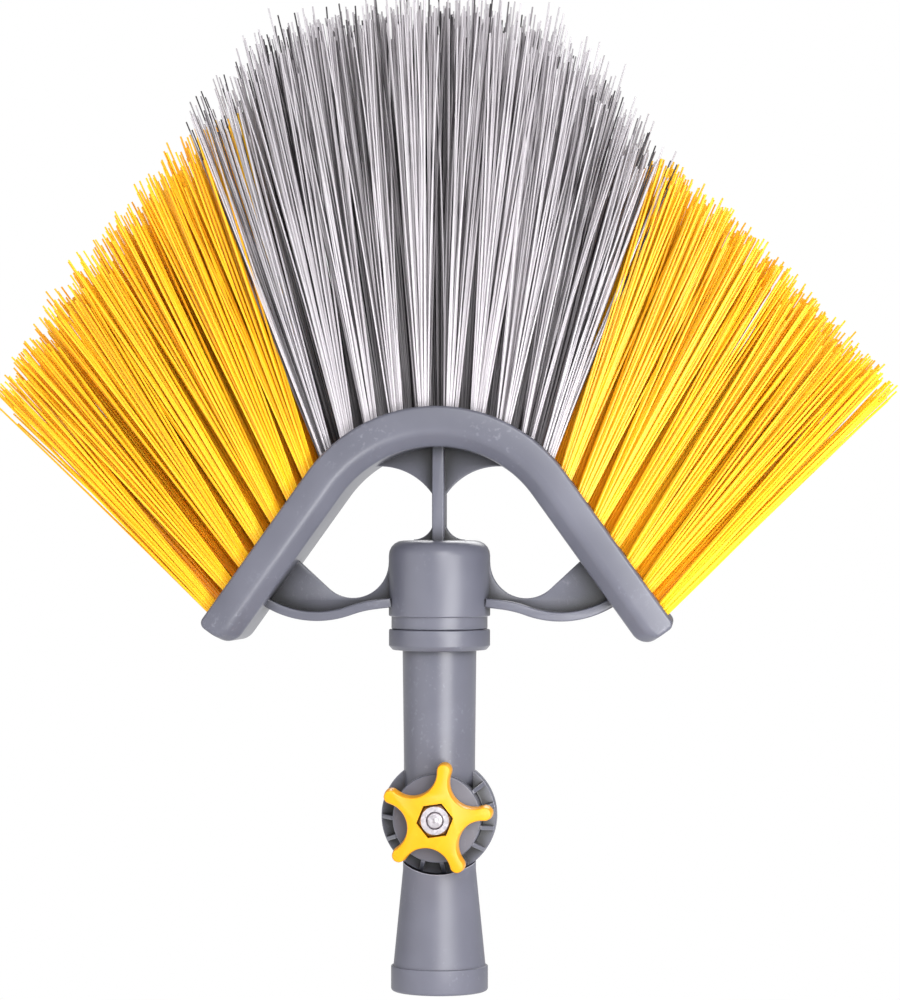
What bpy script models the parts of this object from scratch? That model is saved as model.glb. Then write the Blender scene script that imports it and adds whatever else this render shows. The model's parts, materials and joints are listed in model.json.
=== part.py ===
"""Ceiling brush: a fan of grey and yellow bristles on an arched bar, a neck that turns in the head's hub,
a clamped tilting joint with a star knob, and a tapered socket for a pole.
Metres, +Z up the pole's axis, -Y is the front with the knob. The origin is the middle of the socket's mouth."""

import math
import random

import bmesh
import bpy
from mathutils import Matrix, Vector

# Clearances and overruns

touch_gap = 0.0003
cut_overrun = 0.004
merge_distance = 0.00001

# Pole socket

collar_radius = 0.0172
collar_height = 0.009
collar_edge = 0.0012
collar_bulge_share = 0.3
cone_low_radius = 0.01635
cone_top_radius = 0.01295
cone_height = 0.043
bore_mouth_radius = 0.01325
bore_end_radius = 0.011
bore_depth = 0.038
bore_lead_in = 0.0008

# Tilting joint, a lap of two discs

joint_height = 0.0621
disc_radius = 0.0204
disc_thickness = 0.0033
boss_radius = 0.0156
boss_face = 0.0135
saddle_clearance = 0.0006
rib_count = 15
rib_thickness = 0.0012
rib_outer_inset = 0.0004
rib_face_inset = 0.0012
rib_start_deg = 12.0
rib_gap_half_deg = 45.0

# Bolt, nut, washer and knob

bolt_radius = 0.003
bolt_hole_clearance = 0.0003
hex_across_flats = 0.010
bolt_head_height = 0.004
bolt_head_recess = 0.0004
hex_pocket_clearance = 0.0003
nut_height = 0.005
nut_recess = 0.0008
washer_radius = 0.006
washer_thickness = 0.0012
knob_thickness = 0.0082
knob_arms = 5
knob_tip_reach = 0.0203
knob_tip_radius = 0.0027
knob_valley_radius = 0.0102
knob_edge = 0.0006
knob_turn_deg = 8.0

# Neck

neck_joint_radius = 0.01265
neck_top_radius = 0.0131
neck_flange_low = 0.1209
neck_flange_top = 0.1282
neck_flange_radius = 0.01795
neck_flange_chamfer = 0.0014
neck_wall = 0.0032
neck_core_floor = 0.092
spigot_radius = 0.012
spigot_length = 0.0225
spigot_chamfer = 0.0008
bead_height = 0.0006
bead_length = 0.0024
bead_flat_length = 0.0008
bead_below_top = 0.0035

# Hub of the head

hub_radius = 0.018
hub_step_radius = 0.01705
hub_step_height = 0.0045
hub_top = 0.160
hub_dome = 0.0008
hub_shoulder = 0.0053

# Arched bar

arch_radius = 0.0557
arch_apex = 0.2070
arch_half_deg = 54.3
leg_length = 0.0660
bar_depth = 0.040
bar_face_width = 0.0091
bar_thickness = 0.0141
bar_back_thickness = 0.0149
bar_chamfer_depth = 0.0055
bar_chamfer_fillet = 0.0020
bar_outer_fillet = 0.0012
bar_end_round = 0.0060
bar_end_outer_round = 0.0026

# Web, rib and lower flanges inside the arch

web_thickness = 0.003
web_root = 0.007
web_root_in_hub = 0.0028
web_waist_share = 0.46
rib_width = 0.0043
rib_depth = 0.015
rib_root = 0.003
flange_thickness = 0.0033
flange_dip_share = 0.54
flange_dip_z = 0.1328
flange_radius = 0.0345
flange_bar_overlap = 0.0017
flange_inner_deg = 20.0
flange_back_radius = 0.040
flange_back_deg = 13.0
flange_root = 0.006
window_top_radius_share = 0.541
window_top_x_share = 0.507
window_top_rise_share = 0.291
window_foot_radius = 0.0071
window_low_radius = 0.0128
window_low_drop = 0.008
window_low_turn_deg = 47.0
window_bar_overlap = 0.0018

# Bristle rows

row_count = 4
row_pitch = 0.009
row_fan_deg = 4.5
tufts_wide = 24
grey_tufts_wide = 10
tuft_pitch = 0.0097
tuft_end_tilt_deg = 42.8
tuft_radius = 0.0023
tuft_hole_depth = 0.008
backing_thickness = 0.0015
tray_end_margin = 0.0034
bristle_length = 0.142
bristle_length_at_change = 0.127
bristle_length_at_end = 0.106
long_bristle_reach = 0.036
strand_root_radius = 0.00062
strand_tip_radius = 0.00042
strand_offset = 0.0014
strand_splay_deg = 1.3
strand_splay_depth_deg = 1.0
ragged_share = 0.03
ragged_seed = 7

# Fineness of the round shapes

round_steps = 32
small_steps = 16
arch_steps = 18
fillet_steps = 2
end_steps = 5
outline_steps = 8
corner_steps = 5
saddle_steps = 64
end_round_share = 0.93
hole_sides = 6
strand_sides = 3
smooth_below_deg = 35.0
bevel_above_deg = 60.0
flat_within_deg = 1.0

# Sizes that follow from the ones above

arch_half = math.radians(arch_half_deg)
arch_centre_z = arch_apex - arch_radius
arc_half_length = arch_radius * arch_half
bar_half_length = arc_half_length + leg_length
half_depth = bar_depth / 2
lap = touch_gap / 2
saddle_radius = disc_radius + saddle_clearance
bolt_hole_radius = bolt_radius + bolt_hole_clearance
hex_radius = hex_across_flats / math.sqrt(3)
hex_pocket_radius = (hex_across_flats + 2 * hex_pocket_clearance) / math.sqrt(3)
washer_front = boss_face + touch_gap + washer_thickness
knob_back = washer_front + touch_gap
knob_face = knob_back + knob_thickness
nut_face = knob_face - nut_recess
nut_back = nut_face - nut_height
bolt_head_face = boss_face - bolt_head_recess
bolt_head_seat = bolt_head_face - bolt_head_height
spigot_top = neck_flange_top + spigot_length
hub_bottom = neck_flange_top + touch_gap
hub_bore_radius = spigot_radius + touch_gap
tray_half_depth = row_count * row_pitch / 2 + touch_gap / 2
tray_depth = backing_thickness + touch_gap
tray_half_length = bar_half_length - tray_end_margin
last_tuft = (tufts_wide - 1) * tuft_pitch / 2
colour_change = grey_tufts_wide * tuft_pitch / 2

# Scene helpers


def fresh_collections():
    for thing in list(bpy.data.objects):
        bpy.data.objects.remove(thing, do_unlink=True)
    made = []
    for name in ("ceiling_brush", "cutters"):
        group = bpy.data.collections.new(name)
        bpy.context.scene.collection.children.link(group)
        made.append(group)
    return made


parts, cutters = fresh_collections()


def plastic(name, colour, roughness, metallic=0.0):
    finish = bpy.data.materials.new(name)
    finish.use_nodes = True
    shader = finish.node_tree.nodes["Principled BSDF"]
    shader.inputs["Base Color"].default_value = (*colour, 1.0)
    shader.inputs["Roughness"].default_value = roughness
    shader.inputs["Metallic"].default_value = metallic
    finish.diffuse_color = (*colour, 1.0)
    return finish


def new_object(name, mesh, group):
    thing = bpy.data.objects.new(name, mesh)
    group.objects.link(thing)
    if group == cutters:
        thing.hide_render = True
        thing.display_type = "WIRE"
    return thing


def from_bmesh(name, work, group):
    bmesh.ops.recalc_face_normals(work, faces=work.faces)
    mesh = bpy.data.meshes.new(name)
    work.to_mesh(mesh)
    work.free()
    return new_object(name, mesh, group)


def made_mesh(source, group, turn=None):
    """The evaluated shape of a curve or a modified object as a plain mesh, with its loose caps welded."""
    bpy.context.view_layer.update()
    graph = bpy.context.evaluated_depsgraph_get()
    mesh = bpy.data.meshes.new_from_object(source.evaluated_get(graph))
    name = source.name
    place = source.matrix_world.copy()
    bpy.data.objects.remove(source, do_unlink=True)
    work = bmesh.new()
    work.from_mesh(mesh)
    bmesh.ops.remove_doubles(work, verts=work.verts, dist=merge_distance)
    work.transform((turn or Matrix.Identity(4)) @ place)
    bpy.data.meshes.remove(mesh)
    return from_bmesh(name, work, group)


def turned(name, profile, group, turn=None, steps=round_steps):
    """A profile of (radius, height) points, run down its outer side, turned about Z."""
    mesh = bpy.data.meshes.new(name)
    edges = [(i, i + 1) for i in range(len(profile) - 1)]
    mesh.from_pydata([(radius, 0.0, height) for radius, height in profile], edges, [])
    thing = new_object(name, mesh, group)
    screw = thing.modifiers.new("turn", "SCREW")
    screw.steps = steps
    screw.render_steps = steps
    screw.use_merge_vertices = True
    screw.merge_threshold = merge_distance
    return made_mesh(thing, group, turn)


def plate(name, outlines, group, depth):
    """Flat outlines of (x, z) points, holes among them, made a plate centred on the plane y = 0."""
    flat = bpy.data.curves.new(name, "CURVE")
    flat.dimensions = "2D"
    flat.fill_mode = "BOTH"
    flat.extrude = depth / 2
    for outline in outlines:
        spline = flat.splines.new("POLY")
        spline.points.add(len(outline) - 1)
        for point, (x, z) in zip(spline.points, outline):
            point.co = (x, z, 0.0, 1.0)
        spline.use_cyclic_u = True
    thing = new_object(name, flat, group)
    return made_mesh(thing, group, Matrix.Rotation(math.pi / 2, 4, "X"))


def rod(work, start, end, radius, end_radius, sides):
    """A straight prism or cone between two points, added to a bmesh."""
    along = end - start
    turn = along.to_track_quat("Z", "Y").to_matrix().to_4x4()
    place = Matrix.Translation((start + end) / 2) @ turn
    bmesh.ops.create_cone(
        work,
        cap_ends=True,
        segments=sides,
        radius1=radius,
        radius2=end_radius,
        depth=along.length,
        matrix=place,
    )


def rod_object(name, start, end, radius, sides, group):
    work = bmesh.new()
    rod(work, Vector(start), Vector(end), radius, radius, sides)
    return from_bmesh(name, work, group)


def block(name, low, high, group):
    work = bmesh.new()
    size = Vector(high) - Vector(low)
    middle = (Vector(high) + Vector(low)) / 2
    place = Matrix.Translation(middle) @ Matrix.Diagonal((*size, 1.0))
    bmesh.ops.create_cube(work, size=1.0, matrix=place)
    return from_bmesh(name, work, group)


def combine(thing, tool, operation):
    change = thing.modifiers.new(tool.name, "BOOLEAN")
    change.solver = "EXACT"
    change.operation = operation
    change.object = tool


def finish(thing, surface, axis_empty=None):
    """Gives a part its material and, on a moving part, its origin on the joint's axis."""
    thing.data.materials.append(surface)
    thing.data.shade_smooth()
    thing.data.set_sharp_from_angle(angle=math.radians(smooth_below_deg))
    if axis_empty is not None:
        thing.data.transform(Matrix.Translation(-axis_empty.matrix_world.translation))
        thing.parent = axis_empty


def axis_point(name, place, parent=None):
    empty = bpy.data.objects.new(name, None)
    parts.objects.link(empty)
    empty.location = Vector(place)
    if parent is not None:
        empty.location -= parent.matrix_world.translation
        empty.parent = parent
    bpy.context.view_layer.update()
    return empty


def arc(centre_x, centre_z, radius, from_deg, to_deg, steps):
    points = []
    for step in range(steps + 1):
        angle = math.radians(from_deg + (to_deg - from_deg) * step / steps)
        points.append((centre_x + radius * math.cos(angle), centre_z + radius * math.sin(angle)))
    return points


# Shape of the arch


def path_frame(along):
    """Point on the bar's outer face, its tangent and its inward normal, at a length from the apex."""
    side = math.copysign(1.0, along)
    reach = abs(along)
    angle = min(reach / arch_radius, arch_half)
    outward = Vector((side * math.sin(angle), 0.0, math.cos(angle)))
    tangent = Vector((math.cos(angle), 0.0, -side * math.sin(angle)))
    point = Vector((0.0, 0.0, arch_centre_z)) + outward * arch_radius
    point += tangent * side * max(0.0, reach - arc_half_length)
    return point, tangent, -outward


def stations(start, stop):
    """Lengths along the path, closely spaced on the arc and at its ends, and none between on a leg."""
    inner = [
        -arc_half_length + 2 * arc_half_length * step / arch_steps
        for step in range(arch_steps + 1)
    ]
    return [start] + [s for s in inner if start + touch_gap < s < stop - touch_gap] + [stop]


def sweep(name, section_at, places, group):
    """A section of (depth into the bar, y) points carried along the arched path."""
    work = bmesh.new()

    def placed(along):
        point, _, inward = path_frame(along)
        return [point + inward * into + Vector((0.0, y, 0.0)) for into, y in section_at(along)]

    ring = [work.verts.new(spot) for spot in placed(places[0])]
    face = work.faces.new(ring)
    for along in places[1:]:
        grown = bmesh.ops.extrude_face_region(work, geom=[face])
        bmesh.ops.delete(work, geom=[face], context="FACES_ONLY")
        face = next(item for item in grown["geom"] if isinstance(item, bmesh.types.BMFace))
        for vert, spot in zip([loop.vert for loop in face.loops], placed(along)):
            vert.co = spot
    work.faces.new(ring)
    return from_bmesh(name, work, group)


def rounded_corner(before, corner, after, radius):
    """Points of the fillet that replaces one corner of a flat outline."""
    corner = Vector(corner)
    to_before = (Vector(before) - corner).normalized()
    to_after = (Vector(after) - corner).normalized()
    half = to_before.angle(to_after) / 2
    reach = radius / math.tan(half)
    centre = corner + (to_before + to_after).normalized() * (radius / math.sin(half))
    first = corner + to_before * reach - centre
    last = corner + to_after * reach - centre
    points = []
    for step in range(fillet_steps + 1):
        points.append(tuple(centre + first.slerp(last, step / fillet_steps).normalized() * radius))
    return points


def bar_section():
    """The bar across its length: wide chamfers on its inner side, and slightly thicker behind."""
    back_face_width = bar_face_width + bar_back_thickness - bar_thickness
    corners = [
        ((0.0, -half_depth), bar_outer_fillet),
        ((bar_face_width, -half_depth), bar_chamfer_fillet),
        ((bar_thickness, bar_chamfer_depth - half_depth), None),
        ((bar_back_thickness, half_depth - bar_chamfer_depth), None),
        ((back_face_width, half_depth), bar_chamfer_fillet),
        ((0.0, half_depth), bar_outer_fillet),
    ]
    outline = []
    for i, (corner, radius) in enumerate(corners):
        if radius is None:
            outline.append(corner)
            continue
        before = corners[i - 1][0]
        after = corners[(i + 1) % len(corners)][0]
        outline += rounded_corner(before, corner, after, radius)
    return outline


bar_outline = bar_section()


def bar_section_at(along):
    """The bar's section, drawn in on both sides where the leg's end is rounded."""

    def drawn_in(radius):
        into_round = max(0.0, abs(along) - (bar_half_length - radius)) / radius
        return radius * (1 - math.sqrt(max(0.0, 1 - into_round**2)))

    outer = drawn_in(bar_end_outer_round)
    scale = 1 - (outer + drawn_in(bar_end_round)) / bar_back_thickness
    return [(outer + into * scale, y) for into, y in bar_outline]


def inner_point(along, into):
    point, _, inward = path_frame(along)
    spot = point + inward * into
    return spot.x, spot.z


def leg_line(into):
    """Start and direction, in x and z, of a line down the right leg at a depth from its outer face."""
    return Vector(inner_point(arc_half_length, into)), Vector((math.cos(arch_half), -math.sin(arch_half)))


def circle_meets_leg(centre, radius, into):
    """The lower point where a circle crosses a line down the right leg."""
    start, down = leg_line(into)
    along = (centre - start).dot(down)
    aside = (centre - start - down * along).length
    return start + down * (along + math.sqrt(radius**2 - aside**2))


def circle_meets_arch(centre, radius, into):
    """The upper point where a circle crosses an arc at a depth under the arch's outer face."""
    arch_centre = Vector((0.0, arch_centre_z))
    between = centre - arch_centre
    inner_radius = arch_radius - into
    reach = (inner_radius**2 - radius**2 + between.length_squared) / (2 * between.length)
    aside = math.sqrt(inner_radius**2 - reach**2)
    along = between.normalized()
    return arch_centre + along * reach + Vector((-along.y, along.x)) * aside


def degrees_from(centre, point):
    return math.degrees(math.atan2(point.y - centre.y, point.x - centre.x))


# Brush head


def flange_path():
    """The right lower flange's middle line from inside the bar, through its dip, to inside the hub."""
    leg, down = leg_line(bar_thickness)
    leg_x = leg.x + (leg.y - flange_dip_z) * down.x / -down.y
    centre = Vector((hub_radius + (leg_x - hub_radius) * flange_dip_share, flange_dip_z + flange_radius))
    meeting = circle_meets_leg(centre, flange_radius, bar_thickness - flange_bar_overlap)
    outer_deg = degrees_from(centre, meeting)
    line = arc(centre.x, centre.y, flange_radius, outer_deg, -90 - flange_inner_deg, outline_steps)
    last_x, last_z = line[-1]
    turn = math.radians(flange_inner_deg)
    back_x = last_x - flange_back_radius * math.sin(turn)
    back_z = last_z - flange_back_radius * math.cos(turn)
    back_deg = 90 - flange_inner_deg
    line += arc(back_x, back_z, flange_back_radius, back_deg, back_deg + flange_back_deg, corner_steps)[1:]
    end_x, end_z = line[-1]
    slope = math.radians(flange_inner_deg - flange_back_deg)
    line.append((end_x - flange_root * math.cos(slope), end_z + flange_root * math.sin(slope)))
    return line


def ribbon(line, thickness):
    """A closed outline that follows a middle line at a steady thickness."""
    left, right = [], []
    for i, (x, z) in enumerate(line):
        before = Vector(line[max(0, i - 1)])
        after = Vector(line[min(len(line) - 1, i + 1)])
        along = (after - before).normalized()
        side = Vector((-along.y, along.x)) * thickness / 2
        left.append((x + side.x, z + side.y))
        right.append((x - side.x, z - side.y))
    return left + right[::-1]


def window_outline():
    """The right window's edge: under the arch, down the rib, round the hub and up along the leg."""
    hidden = bar_thickness - window_bar_overlap
    inner_radius = arch_radius - bar_thickness
    top = Vector((0.0, arch_centre_z)) + inner_radius * Vector((window_top_x_share, window_top_rise_share))
    top_radius = inner_radius * window_top_radius_share
    waist = rib_width * web_waist_share
    waist_deg = 180 - math.degrees(math.acos((top.x - waist) / top_radius))
    under_arch = circle_meets_arch(top, top_radius, hidden)
    points = arc(top.x, top.y, top_radius, degrees_from(top, under_arch), waist_deg, outline_steps)
    foot_x = waist + window_foot_radius
    points += arc(foot_x, hub_top + window_foot_radius, window_foot_radius, 180, 270, corner_steps)
    inside_hub = hub_radius - window_bar_overlap
    low_x = hub_radius + window_low_radius
    low_z = hub_top - window_low_drop
    points += [(foot_x, hub_top - web_root_in_hub), (inside_hub, hub_top - hub_shoulder), (inside_hub, low_z)]
    points += arc(low_x, low_z, window_low_radius, 180, 360 - window_low_turn_deg, outline_steps)
    low_turn = math.radians(window_low_turn_deg)
    leaving = Vector((math.sin(low_turn), math.cos(low_turn)))
    leg, down = leg_line(hidden)
    across = Vector((-down.y, down.x))
    left_off = Vector(points[-1])
    corner = left_off + leaving * (leg - left_off).dot(across) / leaving.dot(across)
    corner_along = arc_half_length + (corner - leg).dot(down)
    first_along = arch_radius * math.atan2(under_arch.x, under_arch.y - arch_centre_z)
    run = stations(first_along, corner_along)[::-1]
    points += [inner_point(along, hidden) for along in run[:-1]]
    return points


def mirrored(outline):
    return [(-x, z) for x, z in reversed(outline)]


def web_outline(lower):
    leg, down = leg_line(web_root)
    outer_along = arc_half_length + (Vector(lower[0]) - leg).dot(down)
    top = [inner_point(along, web_root) for along in stations(-outer_along, outer_along)]
    return top + lower + mirrored(lower)


def hub_profile():
    """Outer profile of the hub, from its domed top down to its stepped lower end."""
    shoulder_z = hub_top - hub_dome - hub_shoulder
    profile = [(0.0, hub_top)]
    profile += [
        (radius, height)
        for radius, height in arc(hub_radius - hub_shoulder, shoulder_z, hub_shoulder, 90, 0, corner_steps)
    ]
    step_z = hub_bottom + hub_step_height
    profile += [(hub_radius, step_z), (hub_step_radius, step_z), (hub_step_radius, hub_bottom)]
    profile += [(0.0, hub_bottom)]
    return profile


def hub_bore_profile():
    """The hub's blind bore, with a groove for the spigot's snap bead."""
    top = spigot_top + touch_gap
    bead_z = spigot_top - bead_below_top
    groove = hub_bore_radius + bead_height
    return [
        (0.0, top),
        (hub_bore_radius, top),
        (hub_bore_radius, bead_z + bead_length / 2 + touch_gap),
        (groove, bead_z + bead_flat_length / 2 + touch_gap),
        (groove, bead_z - bead_flat_length / 2 - touch_gap),
        (hub_bore_radius, bead_z - bead_length / 2 - touch_gap),
        (hub_bore_radius, hub_bottom - cut_overrun),
        (0.0, hub_bottom - cut_overrun),
    ]


def rounded_bar():
    ends = []
    for step in range(end_steps + 1):
        turn = end_round_share * math.pi / 2 * step / end_steps
        ends.append(bar_half_length - bar_end_round * (1 - math.sin(turn)))
    places = [-s for s in reversed(ends)] + stations(-arc_half_length, arc_half_length) + ends
    return sweep("brush_head", bar_section_at, places, parts)


def tray_section(along):
    return [
        (-cut_overrun, -tray_half_depth),
        (tray_depth, -tray_half_depth),
        (tray_depth, tray_half_depth),
        (-cut_overrun, tray_half_depth),
    ]


def make_head(surface, empty, tufts):
    head = rounded_bar()
    lower = flange_path()
    window = window_outline()
    tools = [
        plate("web", [web_outline(lower), window, mirrored(window)], cutters, web_thickness),
        plate("flange_right", [ribbon(lower, flange_thickness)], cutters, rib_depth),
        plate("flange_left", [mirrored(ribbon(lower, flange_thickness))], cutters, rib_depth),
        block(
            "rib",
            (-rib_width / 2, -rib_depth / 2, hub_top - rib_root),
            (rib_width / 2, rib_depth / 2, arch_apex - bar_thickness + rib_root),
            cutters,
        ),
        turned("hub", hub_profile(), cutters),
    ]
    for tool in tools:
        combine(head, tool, "UNION")
    combine(head, turned("hub_bore", hub_bore_profile(), cutters), "DIFFERENCE")
    tray_places = stations(-tray_half_length, tray_half_length)
    combine(head, sweep("tray", tray_section, tray_places, cutters), "DIFFERENCE")
    combine(head, tuft_holes(tufts), "DIFFERENCE")
    finish(head, surface, empty)
    return head


# Bristles


def row_y(row):
    return (row - (row_count - 1) / 2) * row_pitch


def tuft_places(row):
    """Lengths along the arch of one row's tufts. Every second row is staggered by half a pitch."""
    staggered = row % 2
    count = tufts_wide - staggered
    return [(i - (count - 1) / 2) * tuft_pitch for i in range(count)]


def change_at(row):
    return colour_change - (tuft_pitch / 2 if row % 2 else 0.0)


def tuft_direction(along, row, extra_deg=0.0, extra_depth_deg=0.0):
    lean = math.radians(tuft_end_tilt_deg * along / last_tuft + extra_deg)
    fan_deg = row_fan_deg * row_y(row) / row_y(row_count - 1)
    depth_lean = math.radians(fan_deg + extra_depth_deg)
    return Vector(
        (math.sin(lean) * math.cos(depth_lean), math.sin(depth_lean), math.cos(lean) * math.cos(depth_lean))
    )


def tuft_root(along, row):
    point, _, inward = path_frame(along)
    return point + inward * (backing_thickness / 2) + Vector((0.0, row_y(row), 0.0))


def tuft_length(along):
    reach = abs(along)
    if reach < long_bristle_reach:
        return bristle_length
    if reach < colour_change:
        share = (reach - long_bristle_reach) / (colour_change - long_bristle_reach)
        return bristle_length + (bristle_length_at_change - bristle_length) * share
    share = (reach - colour_change) / (last_tuft - colour_change)
    return bristle_length_at_change + (bristle_length_at_end - bristle_length_at_change) * share


def all_tufts():
    return [(along, row) for row in range(row_count) for along in tuft_places(row)]


def tuft_holes(tufts):
    work = bmesh.new()
    for along, row in tufts:
        root = tuft_root(along, row)
        direction = tuft_direction(along, row)
        bottom = root - direction * (tuft_hole_depth + touch_gap)
        rod(work, bottom, root, tuft_radius + touch_gap, tuft_radius + touch_gap, hole_sides)
    return from_bmesh("tuft_holes", work, cutters)


def make_row(name, row, start, stop, surface, empty, chance):
    """One colour of one row: a strip of the backing with the tufts' roots below and their strands above."""
    low_y = row_y(row) - row_pitch / 2 + lap
    high_y = row_y(row) + row_pitch / 2 - lap

    def section(along):
        return [
            (0.0, low_y),
            (backing_thickness, low_y),
            (backing_thickness, high_y),
            (0.0, high_y),
        ]

    strip = sweep(name, section, stations(start, stop), parts)
    roots = bmesh.new()
    strands = bmesh.new()
    for along in tuft_places(row):
        if not start < along < stop:
            continue
        root = tuft_root(along, row)
        middle = tuft_direction(along, row)
        rod(roots, root - middle * tuft_hole_depth, root, tuft_radius, tuft_radius, hole_sides)
        _, tangent, _ = path_frame(along)
        for side in (-1, 1):
            for depth_side in (-1, 1):
                offset = tangent * side * strand_offset + Vector((0.0, depth_side * strand_offset, 0.0))
                way = tuft_direction(
                    along, row, side * strand_splay_deg, depth_side * strand_splay_depth_deg
                )
                length = tuft_length(along) * (1 - ragged_share * chance.random())
                base = root + offset
                rod(strands, base, base + way * length, strand_root_radius, strand_tip_radius, strand_sides)
    combine(strip, from_bmesh(name + "_roots", roots, cutters), "UNION")
    combine(strip, from_bmesh(name + "_strands", strands, cutters), "UNION")
    finish(strip, surface, empty)
    return strip


def make_rows(grey, yellow, empty):
    chance = random.Random(ragged_seed)
    end = tray_half_length - touch_gap
    for row in range(row_count):
        change = change_at(row)
        number = row + 1
        make_row(f"yellow_left_row_{number}", row, -end, -change - lap, yellow, empty, chance)
        make_row(f"grey_row_{number}", row, -change + lap, change - lap, grey, empty, chance)
        make_row(f"yellow_right_row_{number}", row, change + lap, end, yellow, empty, chance)


# Tilting joint


def joint_disc(name, side, group):
    """A thin disc and its boss on one side of the lap, turned about the bolt's axis."""
    profile = [
        (0.0, boss_face),
        (boss_radius, boss_face),
        (boss_radius, lap + disc_thickness),
        (disc_radius, lap + disc_thickness),
        (disc_radius, lap),
        (0.0, lap),
    ]
    turn = Matrix.Translation((0.0, 0.0, joint_height)) @ Matrix.Rotation(-side * math.pi / 2, 4, "X")
    return turned(name, profile, group, turn)


def joint_ribs(name, side, tube_at_deg, group):
    """Radial ribs that slope from the boss down to the disc's edge, apart from where the tube joins."""
    work = bmesh.new()
    inner = boss_radius - rib_face_inset
    outer = disc_radius - rib_outer_inset
    floor = lap + disc_thickness - rib_face_inset
    face = boss_face - rib_face_inset
    for number in range(rib_count):
        angle_deg = rib_start_deg + number * 360 / rib_count
        if abs(angle_deg % 360 - tube_at_deg) < rib_gap_half_deg:
            continue
        size = Vector((outer - inner, face - floor, rib_thickness))
        middle = Vector(((outer + inner) / 2, (face + floor) / 2, 0.0))
        made = bmesh.ops.create_cube(
            work, size=1.0, matrix=Matrix.Translation(middle) @ Matrix.Diagonal((*size, 1.0))
        )
        for vert in made["verts"]:
            if vert.co.x > middle.x and vert.co.y > middle.y:
                vert.co.y = lap + disc_thickness + rib_thickness
        turn = Matrix.Rotation(-math.radians(angle_deg), 4, "Y")
        place = Matrix.Translation((0.0, 0.0, joint_height)) @ turn
        for vert in made["verts"]:
            spot = vert.co.copy()
            spot.y *= side
            vert.co = place @ spot
    return from_bmesh(name, work, group)


def make_socket(surface):
    rim = collar_radius - collar_edge
    profile = [
        (0.0, joint_height),
        (cone_top_radius, joint_height),
        (cone_top_radius, cone_height),
        (cone_low_radius, collar_height),
        (collar_radius, collar_height),
        (collar_radius, collar_edge),
        (collar_radius - collar_edge * collar_bulge_share, collar_edge * collar_bulge_share),
        (rim, 0.0),
        (bore_mouth_radius + bore_lead_in, 0.0),
        (bore_mouth_radius, bore_lead_in),
        (bore_end_radius, bore_depth),
        (0.0, bore_depth),
    ]
    socket = turned("pole_socket", profile, parts)
    front = (0.0, -boss_face - cut_overrun, joint_height)
    middle = (0.0, lap, joint_height)
    saddle = rod_object("socket_saddle", front, middle, saddle_radius, saddle_steps, cutters)
    combine(socket, saddle, "DIFFERENCE")
    combine(socket, joint_disc("socket_disc", 1, cutters), "UNION")
    combine(socket, joint_ribs("socket_ribs", 1, 270, cutters), "UNION")
    back = (0.0, boss_face + cut_overrun, joint_height)
    pocket_floor = (0.0, bolt_head_seat - touch_gap, joint_height)
    pocket = rod_object("head_pocket", pocket_floor, back, hex_pocket_radius, 6, cutters)
    combine(socket, pocket, "DIFFERENCE")
    hole = rod_object("socket_hole", front, back, bolt_hole_radius, small_steps, cutters)
    combine(socket, hole, "DIFFERENCE")
    finish(socket, surface)
    return socket


def make_neck(surface, empty):
    core = neck_joint_radius - neck_wall
    bead_z = spigot_top - bead_below_top
    bead = spigot_radius + bead_height
    profile = [
        (0.0, neck_core_floor),
        (core, neck_core_floor),
        (core, spigot_top),
        (spigot_radius - spigot_chamfer, spigot_top),
        (spigot_radius, spigot_top - spigot_chamfer),
        (spigot_radius, bead_z + bead_length / 2),
        (bead, bead_z + bead_flat_length / 2),
        (bead, bead_z - bead_flat_length / 2),
        (spigot_radius, bead_z - bead_length / 2),
        (spigot_radius, neck_flange_top),
        (neck_flange_radius, neck_flange_top),
        (neck_flange_radius, neck_flange_low + neck_flange_chamfer),
        (neck_flange_radius - neck_flange_chamfer, neck_flange_low),
        (neck_top_radius, neck_flange_low),
        (neck_joint_radius, joint_height + disc_radius),
        (neck_joint_radius, joint_height),
        (0.0, joint_height),
    ]
    neck = turned("neck", profile, parts)
    back = (0.0, boss_face + cut_overrun, joint_height)
    saddle = rod_object("neck_saddle", (0.0, -lap, joint_height), back, saddle_radius, saddle_steps, cutters)
    combine(neck, saddle, "DIFFERENCE")
    combine(neck, joint_disc("neck_disc", -1, cutters), "UNION")
    combine(neck, joint_ribs("neck_ribs", -1, 90, cutters), "UNION")
    front = (0.0, -boss_face - cut_overrun, joint_height)
    combine(neck, rod_object("neck_hole", front, back, bolt_hole_radius, small_steps, cutters), "DIFFERENCE")
    finish(neck, surface, empty)
    return neck


# Bolt, nut, washer and knob


def make_bolt(surface):
    head_seat = (0.0, bolt_head_seat, joint_height)
    bolt = rod_object("clamp_bolt", head_seat, (0.0, bolt_head_face, joint_height), hex_radius, 6, parts)
    inside_head = (0.0, bolt_head_seat + bolt_head_height / 2, joint_height)
    end = (0.0, -nut_face, joint_height)
    combine(bolt, rod_object("bolt_shank", end, inside_head, bolt_radius, small_steps, cutters), "UNION")
    finish(bolt, surface)
    return bolt


def make_ring(name, back, face, radius, sides, surface, empty):
    """A nut or a washer: a prism on the bolt's axis with the bolt's hole through it."""
    ring = rod_object(name, (0.0, -face, joint_height), (0.0, -back, joint_height), radius, sides, parts)
    hole_start = (0.0, -face - cut_overrun, joint_height)
    hole_end = (0.0, -back + cut_overrun, joint_height)
    hole = rod_object(name + "_hole", hole_start, hole_end, bolt_hole_radius, small_steps, cutters)
    combine(ring, hole, "DIFFERENCE")
    finish(ring, surface, empty)
    return ring


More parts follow.
